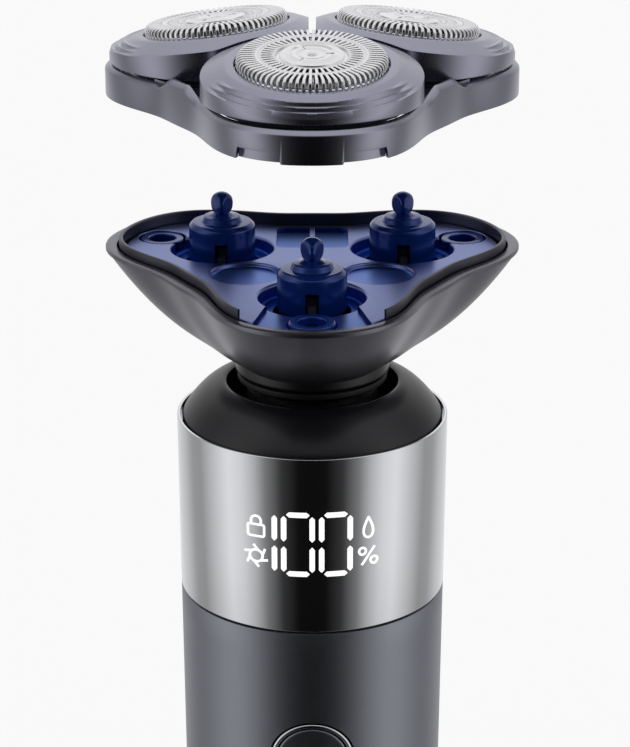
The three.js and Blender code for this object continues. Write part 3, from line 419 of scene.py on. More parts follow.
def math_node(nodes, links, operation, *values):
    """A Math node whose inputs are sockets or constants; returns its output."""
    node = nodes.new("ShaderNodeMath")
    node.operation = operation
    for socket, value in zip(node.inputs, values):
        if isinstance(value, (int, float)):
            socket.default_value = value
        else:
            links.new(value, socket)
    return node.outputs[0]


def mix_colors(nodes, links, factor, first, second):
    """A colour Mix node; first is a socket, second a constant. Returns its output."""
    node = nodes.new("ShaderNodeMix")
    node.data_type = "RGBA"
    sockets = {socket.identifier: socket for socket in node.inputs}
    links.new(factor, sockets["Factor_Float"])
    links.new(first, sockets["A_Color"])
    sockets["B_Color"].default_value = second
    return next(socket for socket in node.outputs if socket.identifier == "Result_Color")


def base_material(name, color, metallic, roughness, coat, grain):
    """A Principled material whose roughness carries a fine grain in Object coordinates."""
    made = bpy.data.materials.new(PREFIX + name)
    made.use_nodes = True
    nodes, links = made.node_tree.nodes, made.node_tree.links
    shader = nodes["Principled BSDF"]
    shader.inputs["Base Color"].default_value = (*color, 1)
    shader.inputs["Metallic"].default_value = metallic
    shader.inputs["Coat Weight"].default_value = coat
    shader.inputs["Coat Roughness"].default_value = 0.12
    place = nodes.new("ShaderNodeTexCoord")
    texture = nodes.new("ShaderNodeGroup")
    texture.node_tree = grain_group()
    links.new(place.outputs["Object"], texture.inputs["Position"])
    spread = math_node(nodes, links, "MULTIPLY_ADD", texture.outputs["Grain"], 2 * grain, roughness - grain)
    links.new(spread, shader.inputs["Roughness"])
    return made


def deck_material():
    """Blue anodised deck with painted light and shade: paler on its raised top as painted light, and deep blue in its
    wells and hollows as painted shade, set by height below the top.
    """
    made = base_material("deck", (0.2, 0.24, 0.5), 1.0, 0.3, 0.0, 0.02)
    nodes, links = made.node_tree.nodes, made.node_tree.links
    place = nodes.new("ShaderNodeTexCoord")
    axes = nodes.new("ShaderNodeSeparateXYZ")
    links.new(place.outputs["Object"], axes.inputs["Vector"])
    top = (HEAD + DECK_TOP) * MM
    height = nodes.new("ShaderNodeMapRange")
    height.interpolation_type = "SMOOTHSTEP"
    height.inputs["From Min"].default_value = top - 0.0016
    height.inputs["From Max"].default_value = top - 0.0001
    links.new(axes.outputs["Z"], height.inputs["Value"])
    # Painted light and shade by height: the deep blue below the top is painted shade in the wells and hollows, and the
    # paler top colour is painted light on the raised top.
    ramp = nodes.new("ShaderNodeValToRGB")
    stops = ramp.color_ramp.elements
    stops[0].position, stops[0].color = 0.0, (0.012, 0.075, 0.42, 1)
    stops[1].position, stops[1].color = 1.0, (*bpy.context.scene.shaver.deck_color, 1)
    middle = stops.new(0.5)
    middle.color = (0.035, 0.15, 0.58, 1)
    links.new(height.outputs["Result"], ramp.inputs["Fac"])
    links.new(ramp.outputs["Color"], nodes["Principled BSDF"].inputs["Base Color"])
    return made


def glow_material():
    """White lit segments of the display."""
    made = base_material("glow", (0.9, 0.9, 0.9), 0.0, 0.4, 0.0, 0.0)
    shader = made.node_tree.nodes["Principled BSDF"]
    shader.inputs["Emission Color"].default_value = (*bpy.context.scene.shaver.glow_color, 1)
    shader.inputs["Emission Strength"].default_value = 0.9
    return made


def material(look):
    """The named material, made on first use; the frame's own materials keep the bare names."""
    made = bpy.data.materials.get(PREFIX + look)
    if made:
        return made
    if look == "deck":
        return deck_material()
    if look == "glow":
        return glow_material()
    color, *rest = LOOKS[look]
    return base_material(look, getattr(bpy.context.scene.shaver, f"{look}_color", color), *rest)


# ---- Handle ----------------------------------------------------------------------------------
def outer_radius(z):
    """The handle's outside radius at height z."""
    return HANDLE_RADIUS - HANDLE_TAPER * (HANDLE_TOP - z)


def walled_tube(radius_of, levels, hole, count=192, half_width=14):
    """A tube's wall with a round hole in its front: the grid stops at a window, and rings of points
    between the window's edge and the hole's edge, x and z mixed and y on the tube, close the rest."""
    turn = angles(count)
    z = levels[:, None] + 0 * turn
    radius = radius_of(z)
    grid = np.stack([radius * np.cos(turn), radius * np.sin(turn), z], axis=-1)
    window = np.abs(levels - BUTTON_Z) < hole + 2.2
    first, last = np.flatnonzero(window)[[0, -1]]
    keep = np.ones((len(levels) - 1, count), bool)
    keep[first:last, :half_width] = False
    keep[first:last, -half_width:] = False
    wall = shell(grid, loop_rows=False, keep=keep)
    across = np.arange(-half_width, half_width + 1)
    up = np.arange(first, last + 1)
    path = (
        [(first, j) for j in across[:-1]]
        + [(i, half_width) for i in up[:-1]]
        + [(last, j) for j in across[:0:-1]]
        + [(i, -half_width) for i in up[:0:-1]]
    )
    edge = np.array([grid[i, j % count] for i, j in path])
    bearing = np.arctan2(edge[:, 2] - BUTTON_Z, edge[:, 0])
    rim_x, rim_z = hole * np.cos(bearing), BUTTON_Z + hole * np.sin(bearing)
    mix = np.linspace(0, 1, 7)[:, None]
    x = edge[:, 0] * (1 - mix) + rim_x * mix
    height = edge[:, 2] * (1 - mix) + rim_z * mix
    y = -np.sqrt(radius_of(height) ** 2 - x**2)
    rings = np.stack([x, y, height], axis=-1)
    return wall, shell(rings, loop_rows=False), rings[-1], grid


def make_grip():
    """Grip tube: outer and inner walls with the button's hole, joined at the ends and round the hole."""
    bottom = END_CAP_SEAM + GAP
    levels = np.unique(np.concatenate([
        np.linspace(bottom + 0.3, GRIP_TOP - 0.3, 24), BUTTON_Z + np.linspace(-8.8, 8.8, 13)
    ]))
    outer_wall, outer_patch, outer_rim, outer_grid = walled_tube(outer_radius, levels, BUTTON_HOLE)
    bore = outer_radius(bottom) - GRIP_WALL
    inner_wall, inner_patch, inner_rim, inner_grid = walled_tube(lambda z: bore + 0 * z, levels, BUTTON_HOLE)
    throat = shell(np.stack([outer_rim, inner_rim]), loop_rows=False)
    spigot = outer_radius(GRIP_TOP) - SLEEVE_WALL - GAP
    top_rows = [
        (outer_radius(GRIP_TOP) - 0.09, GRIP_TOP - 0.09), (outer_radius(GRIP_TOP) - 0.3, GRIP_TOP),
        (spigot, GRIP_TOP), (spigot, SPIGOT_TOP), (bore, SPIGOT_TOP),
    ]
    bottom_rows = [
        (outer_radius(bottom) - 0.09, bottom + 0.09), (outer_radius(bottom) - 0.3, bottom), (bore, bottom),
    ]
    turn = angles(outer_grid.shape[1])

    def joined(start, rows, end):
        """Rows of circles between two rows of grid points."""
        circles = [
            np.stack([r * np.cos(turn), r * np.sin(turn), z + 0 * turn], axis=-1) for r, z in rows
        ]
        return shell(np.stack([start, *circles, end]), loop_rows=False)

    ends = [
        joined(outer_grid[-1], top_rows, inner_grid[-1]),
        joined(outer_grid[0], bottom_rows, inner_grid[0]),
    ]
    piece_of("grip_shell", [outer_wall, outer_patch, inner_wall, inner_patch, throat, *ends], "grip")


def make_sleeve():
    """Polished sleeve: a tube with a rebate at its top for the shoulder."""
    inner_low = outer_radius(SLEEVE_BOTTOM) - SLEEVE_WALL
    inner_high = outer_radius(HANDLE_TOP - SLEEVE_REBATE) - SLEEVE_WALL
    lip = HANDLE_RADIUS - 0.5
    profile = rounded([
        (inner_low, SLEEVE_BOTTOM), (outer_radius(SLEEVE_BOTTOM), SLEEVE_BOTTOM),
        (HANDLE_RADIUS, HANDLE_TOP), (lip, HANDLE_TOP),
        (lip, HANDLE_TOP - SLEEVE_REBATE), (inner_high, HANDLE_TOP - SLEEVE_REBATE),
    ], [0, 0.2, 0.25, 0.12, 0, 0])
    piece_of("display_sleeve", [turned(profile, count=256)], "sleeve")


def make_shoulder():
    """Domed shoulder: z rises as sin(t pi/2)^0.85 from the sleeve's rim to the neck's hole."""
    rim = HANDLE_RADIUS - 0.5 - GAP
    skirt = rim - SLEEVE_WALL
    t = np.linspace(0, 1, 33)[:, None]
    crown = np.hstack([
        rim - (rim - NECK_HOLE_RADIUS - 0.5) * t,
        HANDLE_TOP - 0.2 + (SHOULDER_EDGE - HANDLE_TOP + 0.2) * np.sin(t * np.pi / 2) ** 0.85,
    ])
    collar = [
        (NECK_HOLE_RADIUS + 0.12, SHOULDER_EDGE - 0.12), (NECK_HOLE_RADIUS, SHOULDER_EDGE - 0.5),
        (NECK_HOLE_RADIUS, SHOULDER_EDGE - 4), (NECK_HOLE_RADIUS + 1.5, SHOULDER_EDGE - 4),
        (NECK_HOLE_RADIUS + 1.5, SHOULDER_EDGE - 1.8), (skirt, HANDLE_TOP),
        (skirt, HANDLE_TOP - 1.6), (rim, HANDLE_TOP - 1.6),
    ]
    piece_of("shoulder_ring", [turned(np.vstack([crown, collar]))], "shoulder")


def make_end_cap():
    """End cap: a rounded cup with a spigot, cut by the charging port and two screw holes."""
    outer = outer_radius(END_CAP_SEAM)
    spigot = high("base_seal")[0] - 0.9 - GAP
    wall = spigot - 1.5
    t = np.linspace(0, np.pi / 2, 9)[:, None]
    corner = np.hstack([
        outer - BASE_ROUNDING + BASE_ROUNDING * np.sin(t), BASE_ROUNDING - BASE_ROUNDING * np.cos(t)
    ])
    cup = [
        (outer, END_CAP_SEAM - 0.3), (outer - 0.3, END_CAP_SEAM), (spigot, END_CAP_SEAM),
        (spigot, END_CAP_TOP), (wall, END_CAP_TOP), (wall, END_CAP_FLOOR), (0, END_CAP_FLOOR), (0, 0),
    ]
    piece = linked("end_cap_skin", [turned(np.vstack([corner, cup]))])
    port = (low("usb_receptacle") + high("usb_receptacle")) / 2
    width, depth = (high("usb_receptacle") - low("usb_receptacle"))[:2] + 2 * GAP
    tools = [block((width, depth, 8), (port[0], port[1], 0), 1.2)]
    for name in ("base_screw_1", "base_screw_2"):
        centre = (low(name) + high(name)) / 2
        head = high(name)[0] - centre[0]
        stepped = [(0, -1), (head + GAP, -1), (head + GAP, 1.3), (1.2, 1.3), (1.2, 5), (0, 5)]
        tools.append(moved(turned(stepped, count=48), x=centre[0], y=centre[1]))
    combined(piece, tools, "DIFFERENCE")
    finish_piece(piece, "end_cap", "grip", weighted=True)


def on_handle(rows, count=128):
    """Rows (radius, depth, back) about the button's axis: y = -sqrt(R^2 - x^2) + depth, or the
    button's back plane where back is 1."""
    turn = angles(count)[None, :]
    radius, depth, back = (np.array(column, float)[:, None] for column in zip(*rows))
    x = radius * np.cos(turn)
    z = BUTTON_Z + radius * np.sin(turn)
    face = -np.sqrt(outer_radius(z) ** 2 - x**2) + depth
    return shell(np.stack([x, face * (1 - back) + BUTTON_BACK * back, z], axis=-1))


def rod_y(radius, start, end):
    """A short rod along Y at the button's height."""
    points, faces = turned(rounded([(0, start), (radius, start), (radius, end), (0, end)], 0.1), count=48)
    return points[:, [0, 2, 1]] * [1, 1, -1] + [0, 0, BUTTON_Z], faces


def make_button():
    """Power button: a shallow dish that follows the grip, its stem, and the ring round it."""
    edge = 0.28
    dish = [(BUTTON_RADIUS * t, 0.22 * (1 - t**2) + 0.06, 0) for t in np.linspace(0, 0.9, 14)]
    corner = [
        (BUTTON_RADIUS - edge * (1 - math.sin(a)), 0.08 + edge * (1 - math.cos(a)), 0)
        for a in np.linspace(0, math.pi / 2, 6)
    ]
    pad = on_handle([*dish, *corner, (BUTTON_RADIUS, 0, 1), (0, 0, 1)])
    stem = rod_y(2.2, BUTTON_BACK - 0.2, BUTTON_STEM_END)
    piece_of("power_button", [pad, stem], "grip")
    inner = BUTTON_RADIUS + GAP
    crest = [
        ((inner + TRIM_OUTER) / 2 - (TRIM_OUTER - inner) / 2 * math.cos(a), 0.1 - 0.22 * math.sin(a), 0)
        for a in np.linspace(0, math.pi, 9)
    ]
    ring = on_handle([*crest, (TRIM_OUTER, 0, 1), (inner, 0, 1)])
    piece_of("button_trim_ring", [ring], "sleeve")


# ---- Display ---------------------------------------------------------------------------------
def stroke(path, width, closed=False, pointed=False):
    """A line of the given width along (x, z) points, laid on the sleeve: y = -(R - depth) at each x."""
    path = np.asarray(path, float)
    ahead = np.roll(path, -1, axis=0) - path
    behind = path - np.roll(path, 1, axis=0)
    if not closed:
        ahead[-1], behind[0] = behind[-1], ahead[0]
    along = ahead / np.linalg.norm(ahead, axis=1)[:, None] + behind / np.linalg.norm(behind, axis=1)[:, None]
    along /= np.linalg.norm(along, axis=1)[:, None]
    normal = along[:, ::-1] * [-1, 1]
    half = np.full((len(path), 1), width / 2)
    if pointed:
        half[[0, -1]] = 0.05
    rows = []
    for side, proud in ((1, 0.05), (-1, 0.05), (-1, -0.1), (1, -0.1)):
        x, z = (path + side * normal * half).T
        y = -np.sqrt((outer_radius(z) + proud) ** 2 - x**2)
        rows.append(np.stack([x, y, z], axis=-1))
    points, faces = shell(np.stack(rows), loop_columns=closed)
    if not closed:
        count = len(path)
        ends = [[row * count + column for row in range(4)] for column in (0, count - 1)]
        faces = faces + ends
    return points, faces


def arc(x, z, radius_x, radius_z, start, end, count=24):
    """Points of an elliptical arc about (x, z), in degrees."""
    turn = np.radians(np.linspace(start, end, count))
    return np.stack([x + radius_x * np.cos(turn), z + radius_z * np.sin(turn)], axis=-1)


def segment(start, end):
    """One display segment: a straight bar with pointed ends."""
    start, end = np.array(start, float), np.array(end, float)
    along = (end - start) / np.linalg.norm(end - start)
    inner = np.linspace(start + along * 0.4, end - along * 0.4, 6)
    return stroke(np.vstack([start, inner, end]), 0.8, pointed=True)


def digit(left, right, bottom, top):
    """A seven-segment nought, or a one where right is None."""
    middle, slack = (bottom + top) / 2, 0.45
    bars = []
    for x in (left,) if right is None else (left, right):
        bars.append(segment((x, bottom + 0.7), (x, middle - slack)))
        bars.append(segment((x, middle + slack), (x, top - 0.7)))
    if right is not None:
        for z in (bottom + 0.4, top - 0.4):
            bars.append(segment((left + 0.4, z), (right - 0.4, z)))
    return bars


def make_display(settings):
    """Lit digits and four small signs: a lock, a bladed ring, a drop and a percent sign."""
    height = settings.digit_height / MM
    middle = HANDLE_TOP - settings.display_below_top / MM
    bottom, top = middle - height / 2, middle + height / 2
    lines = digit(-5.55, None, bottom, top) + digit(-4.18, 0.0, bottom, top) + digit(1.39, 5.57, bottom, top)
    upper, lower, side, thin = middle + 2.25, middle - 2.4, 8.25, 0.34
    body = rounded([(-side - 1.2, upper - 1.5), (-side + 1.2, upper - 1.5),
                    (-side + 1.2, upper + 0.35), (-side - 1.2, upper + 0.35)], 0.3, 3)
    shackle = np.vstack([[-side + 0.72, upper + 0.4], arc(-side, upper + 0.95, 0.72, 0.75, 0, 180),
                         [-side - 0.72, upper + 0.4]])
    lines += [stroke(body, thin, closed=True), stroke(shackle, thin)]
    lines.append(stroke(arc(-side, lower, 0.95, 0.95, 0, 345), thin, closed=True))
    for turn in np.radians(np.arange(15, 375, 60)):
        tip = turn + math.radians(28)
        lines.append(stroke([
            (-side + 1.0 * math.cos(turn), lower + 1.0 * math.sin(turn)),
            (-side + 1.8 * math.cos(tip), lower + 1.8 * math.sin(tip)),
        ], thin))
    t = np.linspace(0, 2 * np.pi, 41)[:-1]
    drop = np.stack([side + 0.95 * np.sin(t) * np.sin(t / 2) ** 1.2, upper + 1.6 * np.cos(t) - 0.1], axis=-1)
    lines.append(stroke(drop, thin, closed=True))
    lines.append(stroke([(side - 0.95, lower - 1.4), (side + 0.95, lower + 1.4)], thin))
    for x, z in ((-0.85, 0.8), (0.85, -0.8)):
        lines.append(stroke(arc(side + x, lower + z, 0.5, 0.55, 0, 345), thin, closed=True))
    piece = linked("display_segments", lines)
    piece.data.materials.append(material("glow"))
    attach(piece, BODY_OF["display_sleeve"])


# ---- Neck and bowl -----------------------------------------------------------------------------
def make_neck():
    """Neck ring with the ears that ride on the gimbal, and the soft boot under it."""
    bottom, top = 1.1, BOWL_BOTTOM - GAP
    ring = turned(rounded([
        (NECK_RING_INNER, bottom), (NECK_RING_RADIUS, bottom), (NECK_RING_RADIUS, top), (NECK_RING_INNER, top)
    ], [0, 0.5, 0.7, 0]), HEAD)
    ear_bottom = low("neck_ring")[2] - HEAD
    ear_outer = high("gimbal_ring")[0] - 1.5 - 2 * GAP
    ears = [
        block((4.4, ear_outer - 6.6, bottom + 0.2 - ear_bottom),
              (0, side * (ear_outer + 6.6) / 2, HEAD + (bottom + 0.2 + ear_bottom) / 2))
        for side in (-1, 1)
    ]
    piece = linked("neck_ring_skin", [ring])
    combined(piece, ears, "UNION")
    finish_piece(piece, "neck_ring", "shoulder")
    boot_outer, boot_inner = high("neck_boot")[0], 10.2
    boot_bottom, boot_top = low("neck_boot")[2] - HEAD, high("neck_boot")[2] - HEAD
    boot = rounded([(boot_inner, boot_bottom), (boot_outer, boot_bottom), (boot_outer, boot_top),
                    (boot_inner, boot_top)], 0.25)
    piece_of("neck_boot", [turned(boot, HEAD)], "rubber")


def bowl_skin(t, inset=0.0):
    """(tip, waist, z) of the bowl's skin: radius grows as a power of the height t above its bottom."""
    tip = NECK_RADIUS + (RIM_TIP - LIP_STEP - NECK_RADIUS) * t**0.5 - inset
    waist = NECK_RADIUS + (RIM_WAIST - LIP_STEP - NECK_RADIUS) * t**0.6 - inset
    return tip, waist, BOWL_BOTTOM + (RIM_TOP - RIM_LIP - BOWL_BOTTOM) * t


def make_bowl():
    """Three-lobed bowl: r = waist + (tip - waist) lobe(a) on every level of its skin, lip and cavity."""
    def level(inset, z):
        return RIM_TIP - inset, RIM_WAIST - inset, z

    seat = DECK_TOP - DECK_PLATE - GAP
    pocket = SEAL_INSET - GAP
    outside = [bowl_skin(t**2) for t in np.linspace(0.02, 1, 40)]
    lip = [
        level(0.06, RIM_TOP - RIM_LIP + 0.02), level(0, RIM_TOP - RIM_LIP + 0.12), level(0, RIM_TOP - 0.16),
        level(0.05, RIM_TOP - 0.05), level(0.16, RIM_TOP), level(pocket - 0.16, RIM_TOP),
        level(pocket - 0.05, RIM_TOP - 0.05), level(pocket, RIM_TOP - 0.16), level(pocket, seat),
        level(DECK_INSET + 1, seat), level(DECK_INSET + 1, seat - 0.8),
    ]
    inside = [bowl_skin(t**2, BOWL_WALL) for t in np.linspace(0.90, 0.33, 16)]
    neck = 6.3
    foot = [(neck, neck, BOWL_BOTTOM + 1.4), (neck, neck, BOWL_BOTTOM), (NECK_RADIUS - 0.5, NECK_RADIUS - 0.5, BOWL_BOTTOM)]
    rows = np.array([*outside, *lip, *inside, *foot])
    turn = angles(480)[None, :]
    tip, waist, z = (rows[:, k : k + 1] for k in range(3))
    radius = waist + (tip - waist) * lobe(turn)
    grid = np.stack([radius * np.cos(turn), radius * np.sin(turn), HEAD + z + 0 * radius], axis=-1)
    piece_of("head_bowl", [shell(grid)], "bowl")


def make_seal():
    """Seal band along the rim, open across the front: it starts and ends where |x| is half the opening."""
    reach = np.linspace(0, math.pi / 6, 400)
    across = rim_radius(SEAL_INSET, FRONT + reach) * np.sin(reach)
    start = np.interp(SEAL_OPENING / 2, across, reach)
    turn = FRONT + np.linspace(start, 2 * math.pi - start, 420)[None, :]
    bottom = DECK_TOP - DECK_PLATE
    profile = rounded([
        (SEAL_INSET, bottom), (SEAL_INSET, SEAL_TOP), (SEAL_INSET + SEAL_WIDTH, SEAL_TOP),
        (SEAL_INSET + SEAL_WIDTH, bottom)
    ], [0, 0.3, 0.3, 0])
    radius = rim_radius(profile[:, :1], turn)
    z = HEAD + profile[:, 1:] + 0 * radius
    grid = np.stack([radius * np.cos(turn), radius * np.sin(turn), z], axis=-1)
    points, faces = shell(grid, loop_columns=False)
    rows, columns = grid.shape[:2]
    ends = [[row * columns + column for row in range(rows)] for column in (0, columns - 1)]
    piece_of("seal_band", [(points, faces + ends)], "seal")


def flared(radius, bottom, top, edge=0.35, count=72):
    """A round cutter whose top flares, so that the hole it leaves has a soft rim, and whose floor is soft."""
    t = np.linspace(0, np.pi / 2, 6)
    rim = [(radius + edge * (1 - math.cos(a)), top - edge + edge * math.sin(a)) for a in t]
    foot = [(radius - edge * (1 - math.sin(a)), bottom + edge * (1 - math.cos(a))) for a in t]
    return turned([(0, bottom), *foot, *rim, (radius + edge, top + 1), (0, top + 1)], HEAD, count)


def make_deck():
    """Deck: a three-lobed plate with wells, magnet pockets, finger hollows, a trough and a centre hole."""
    bottom = DECK_TOP - DECK_PLATE
    plate = [(DECK_INSET, bottom), (DECK_INSET, DECK_TOP), (RIM_WAIST, DECK_TOP), (RIM_WAIST, bottom)]
    turn = angles(360)[None, :]
    outline = rounded(plate, [0, 0.3, 0, 0])
    radius = np.where(outline[:, :1] < RIM_WAIST, rim_radius(outline[:, :1], turn), 0)
    grid = np.stack([radius * np.cos(turn), radius * np.sin(turn), HEAD + outline[:, 1:] + 0 * radius], axis=-1)
    piece = linked("deck_plate_skin", [shell(grid)])

    def disc(radius, low_z, high_z, count=72):
        return turned([(0, low_z), (radius, low_z), (radius, high_z), (0, high_z)], HEAD, count)

    def by_lobe(part, circle):
        return [turned_about_z(moved(part, y=-circle), i * 2 * math.pi / 3) for i in range(3)]

    pocket_bottom = MAGNET_BOTTOM - GAP
    cups = by_lobe(disc(WELL_RADIUS + 0.8, WELL_TOP - WELL_FLOOR, bottom + 0.2), SPINDLE_CIRCLE)
    bosses = by_lobe(disc(MAGNET_RADIUS + GAP + 0.35, pocket_bottom - 0.35, bottom + 0.15), MAGNET_CIRCLE)
    combined(piece, cups + bosses, "UNION")
    tools = by_lobe(flared(WELL_RADIUS, WELL_TOP, DECK_TOP, 0.5), SPINDLE_CIRCLE)
    tools += by_lobe(disc(SPINDLE_HOLE, WELL_TOP - 2, WELL_TOP + 0.1), SPINDLE_CIRCLE)
    tools += by_lobe(flared(MAGNET_RADIUS + GAP, pocket_bottom, DECK_TOP, 0.2, 48), MAGNET_CIRCLE)
    shallow = DECK_TOP - 0.7
    tools += [moved(flared(5.2, shallow, DECK_TOP, 0.35), x=side * 9.7, y=-5) for side in (-1, 1)]
    tools.append(disc(1.6, bottom - 1, DECK_TOP + 1, 32))
    trough = np.array([(-6.5, -SPINDLE_CIRCLE - 4), (6.5, -SPINDLE_CIRCLE - 4), (9.5, -RIM_TIP), (-9.5, -RIM_TIP)])
    rows = [(0, shallow), (1, shallow), (1, DECK_TOP + 1), (0, DECK_TOP + 1)]
    centre = trough.mean(axis=0)
    outline = rounded(trough, [0.8, 0.8, 0, 0], 4) - centre
    tools.append(shell(np.array([[(*(centre + p * grow), HEAD + z) for p in outline] for grow, z in rows])))
    width, length, middle = REAR_RECESS
    tools.append(block((width, length, 2), (0, middle, HEAD + shallow + 1), 1.2))
    for tool in tools:
        combined(piece, [tool], "DIFFERENCE")
    rib = block((0.8, 5, 0.75), (0, middle + length / 2 - 2.5, HEAD + shallow + 0.3), 0.2)
    combined(piece, [rib], "UNION")
    finish_piece(piece, "deck_plate", "deck", weighted=True)


def make_magnets():
    """Ring magnets in their pockets."""
    profile = rounded([
        (MAGNET_HOLE, MAGNET_BOTTOM), (MAGNET_RADIUS, MAGNET_BOTTOM),
        (MAGNET_RADIUS, MAGNET_TOP), (MAGNET_HOLE, MAGNET_TOP)
    ], [0, 0, 0.3, 0.3])
    for i in range(3):
        part = turned_about_z(moved(turned(profile, HEAD, 96), y=-MAGNET_CIRCLE), i * 2 * math.pi / 3)
        piece_of(f"magnet_{i + 1}", [part], "drive")


def make_spindles():
    """Sprung spindles: a slotted cup with a stepped crown, a waisted neck and a ball with three flats."""
    radius, wall, top = SPINDLE_RADIUS, SPINDLE_WALL, SPINDLE_TOP
    shoulder = top - 0.58
    outside = rounded([
        (radius - wall, SPINDLE_BOTTOM), (radius, SPINDLE_BOTTOM), (radius, shoulder), (radius - 0.6, top),
        (radius * 0.62, top), (radius * 0.55, top + 0.85), (1.9, top + 0.95), (1.3, top + 1.25),
        (1.05, BALL_HEIGHT - 1.2), (0, BALL_HEIGHT - 1.0), (0, top - wall), (radius - wall, top - wall),
    ], [0, 0.12, 0.3, 0.2, 0.12, 0.2, 0.2, 0.25, 0, 0, 0, 0], 4)
    for i in range(3):
        piece = linked(f"spindle_{i + 1}_skin", [on_spindle(turned(outside, HEAD, 96), i)])
        height = 19.3 - SPINDLE_BOTTOM + 1
        slot_box = block((1.9, radius, height), (0, -radius, HEAD + SPINDLE_BOTTOM - 1 + height / 2), 0.3)
        slots = [on_spindle(turned_about_z(slot_box, k * 2 * math.pi / 3), i) for k in range(3)]
        combined(piece, slots, "DIFFERENCE")
        ball = on_spindle(moved(drive_ball(BALL_RADIUS, BALL_FLAT), z=HEAD + BALL_HEIGHT), i)
        whole = bmesh.new()
        whole.from_mesh(piece.data)
        whole.from_mesh(mesh_of("ball", [ball]))
        whole.to_mesh(piece.data)
        whole.free()
        finish_piece(piece, f"spindle_{i + 1}", "drive")


# ---- Head cap ----------------------------------------------------------------------------------
def make_cap():
    """Cap frame: the skirt's top follows a shallow cone, z = z0 + slope (tip - r), and dips under the
    bezels; its bottom has two notches at the front; a web and saddles inside carry the heads."""
    turn = angles(1080)[None, :]
    outer = rim_radius(CAP_INSET, turn)
    cone = CAP_SKIRT + CAP_DOME_RISE + CAP_DOME_SLOPE * (RIM_TIP - CAP_INSET - outer)
    away = np.full(outer.shape, 99.0)
    for k in range(3):
        facing = FRONT + k * 2 * math.pi / 3
        circle = SPINDLE_CIRCLE + BEZEL_OFFSET
        x = outer * np.cos(turn) - circle * math.cos(facing)
        y = outer * np.sin(turn) - circle * math.sin(facing)
        away = np.minimum(away, np.hypot(x, y))
    saddle = BEZEL_BOTTOM - BEZEL_SINK
    top = saddle + (cone - saddle) * smoothstep(away, BEZEL_RADIUS + 0.4, BEZEL_RADIUS + 3.2)
    top = np.minimum(top, cone)
    across = np.abs(outer * np.cos(turn))
    front = np.sin(turn) < -0.8
    inner_edge, outer_edge, height = NOTCH
    notch = height * smoothstep(across, inner_edge - 0.12, inner_edge + 0.12)
    notch = notch * (1 - smoothstep(across, outer_edge - 0.12, outer_edge + 0.12)) * front
    bottom = CAP_SKIRT + notch
    chamfer, inside = CAP_CHAMFER, CAP_INSET + CAP_WALL
    rows = [
        (CAP_INSET, 0, 0.2), (CAP_INSET, 1, -chamfer - 0.2), (CAP_INSET + 0.03, 1, -chamfer),
        (CAP_INSET + 0.13, 1, -chamfer + 0.14), (CAP_INSET + chamfer - 0.1, 1, -0.07),
        (CAP_INSET + chamfer + 0.05, 1, 0), (inside, 1, 0), (inside, 0, 0), (CAP_INSET + 0.2, 0, 0),
        (CAP_INSET + 0.06, 0, 0.06),
    ]
    grid = []
    for inset, share, shift in rows:
        radius = rim_radius(inset, turn)
        z = CAP + bottom * (1 - share) + top * share + shift
        grid.append(np.stack([radius * np.cos(turn), radius * np.sin(turn), z], axis=-1)[0])
    skirt = shell(np.array(grid))

    reach = np.linspace(0, math.pi / 6, 200)
    inset, thickness = CAP_INSET + CAP_WALL - 0.1, 0.8
    half = np.interp(NOTCH[1] - GAP, rim_radius(inset, FRONT + reach) * np.sin(reach), reach)
    wall_turn = FRONT + np.linspace(-half, half, 61)[None, :]
    wall_rows = np.array([(inset, CAP_SKIRT + 0.1), (inset, WEB_TOP - 0.3),
                          (inset + thickness, WEB_TOP - 0.3), (inset + thickness, CAP_SKIRT + 0.1)])
    wall_radius = rim_radius(wall_rows[:, :1], wall_turn)
    wall_grid = np.stack([wall_radius * np.cos(wall_turn), wall_radius * np.sin(wall_turn),
                          CAP + wall_rows[:, 1:] + 0 * wall_radius], axis=-1)
    points, faces = shell(wall_grid, loop_columns=False)
    ends = [[row * 61 + column for row in range(4)] for column in (0, 60)]
    inner_wall = (points, faces + ends)

    web = linked("web", [lobed_block(CAP_INSET + CAP_WALL - 0.05, CAP + WEB_BOTTOM, CAP + WEB_TOP)])
    saddle_top = BEZEL_BOTTOM - GAP
    saddles = []
    for i in range(3):
        for side in (-1, 1):
            centre = (side * (CARRIER_OUTER + 1.6), 0, CAP + (saddle_top + WEB_TOP - 0.2) / 2)
            saddles.append(on_spindle(block((2.6, 3.4, saddle_top - WEB_TOP + 0.2), centre), i))
    def plug(radius, low_z, high_z):
        return turned([(0, low_z), (radius, low_z), (radius, high_z), (0, high_z)], CAP, 120)

    opening = CARRIER_OUTER + 0.5
    collars = [on_spindle(plug(opening + COLLAR_WIDTH, WEB_TOP - 0.1, COLLAR_TOP), i) for i in range(3)]
    for tool in (*saddles, *collars):
        combined(web, [tool], "UNION")
    cuts = [on_spindle(plug(opening, WEB_BOTTOM - 1, WEB_TOP + 8), i) for i in range(3)]
    cuts.append(plug(WEB_HOLE, WEB_BOTTOM - 1, COLLAR_TOP + 1))
    slot_size = (2 * (CARRIER_OUTER + 1.6), 2 * (TRUNNION_RADIUS + GAP), 3 + TRUNNION_RADIUS + GAP)
    slot_z = CAP + TRUNNION_HEIGHT - TRUNNION_RADIUS - GAP + slot_size[2] / 2
    cuts += [on_spindle(block(slot_size, (0, 0, slot_z), 0.05), i) for i in range(3)]
    for tool in cuts:
        combined(web, [tool], "DIFFERENCE")
    combined(web, [lobed_block(CAP_INSET + CAP_WALL - 0.05, CAP + WEB_BOTTOM - 1, CAP + COLLAR_TOP + 3)], "INTERSECT")
    piece = linked("cap_frame_skin", [skirt, inner_wall])
    whole = bmesh.new()
    whole.from_mesh(piece.data)
    whole.from_mesh(web.data)
    whole.to_mesh(piece.data)
    whole.free()
    bpy.data.objects.remove(web)
    finish_piece(piece, "cap_frame", "cap", angle=40)


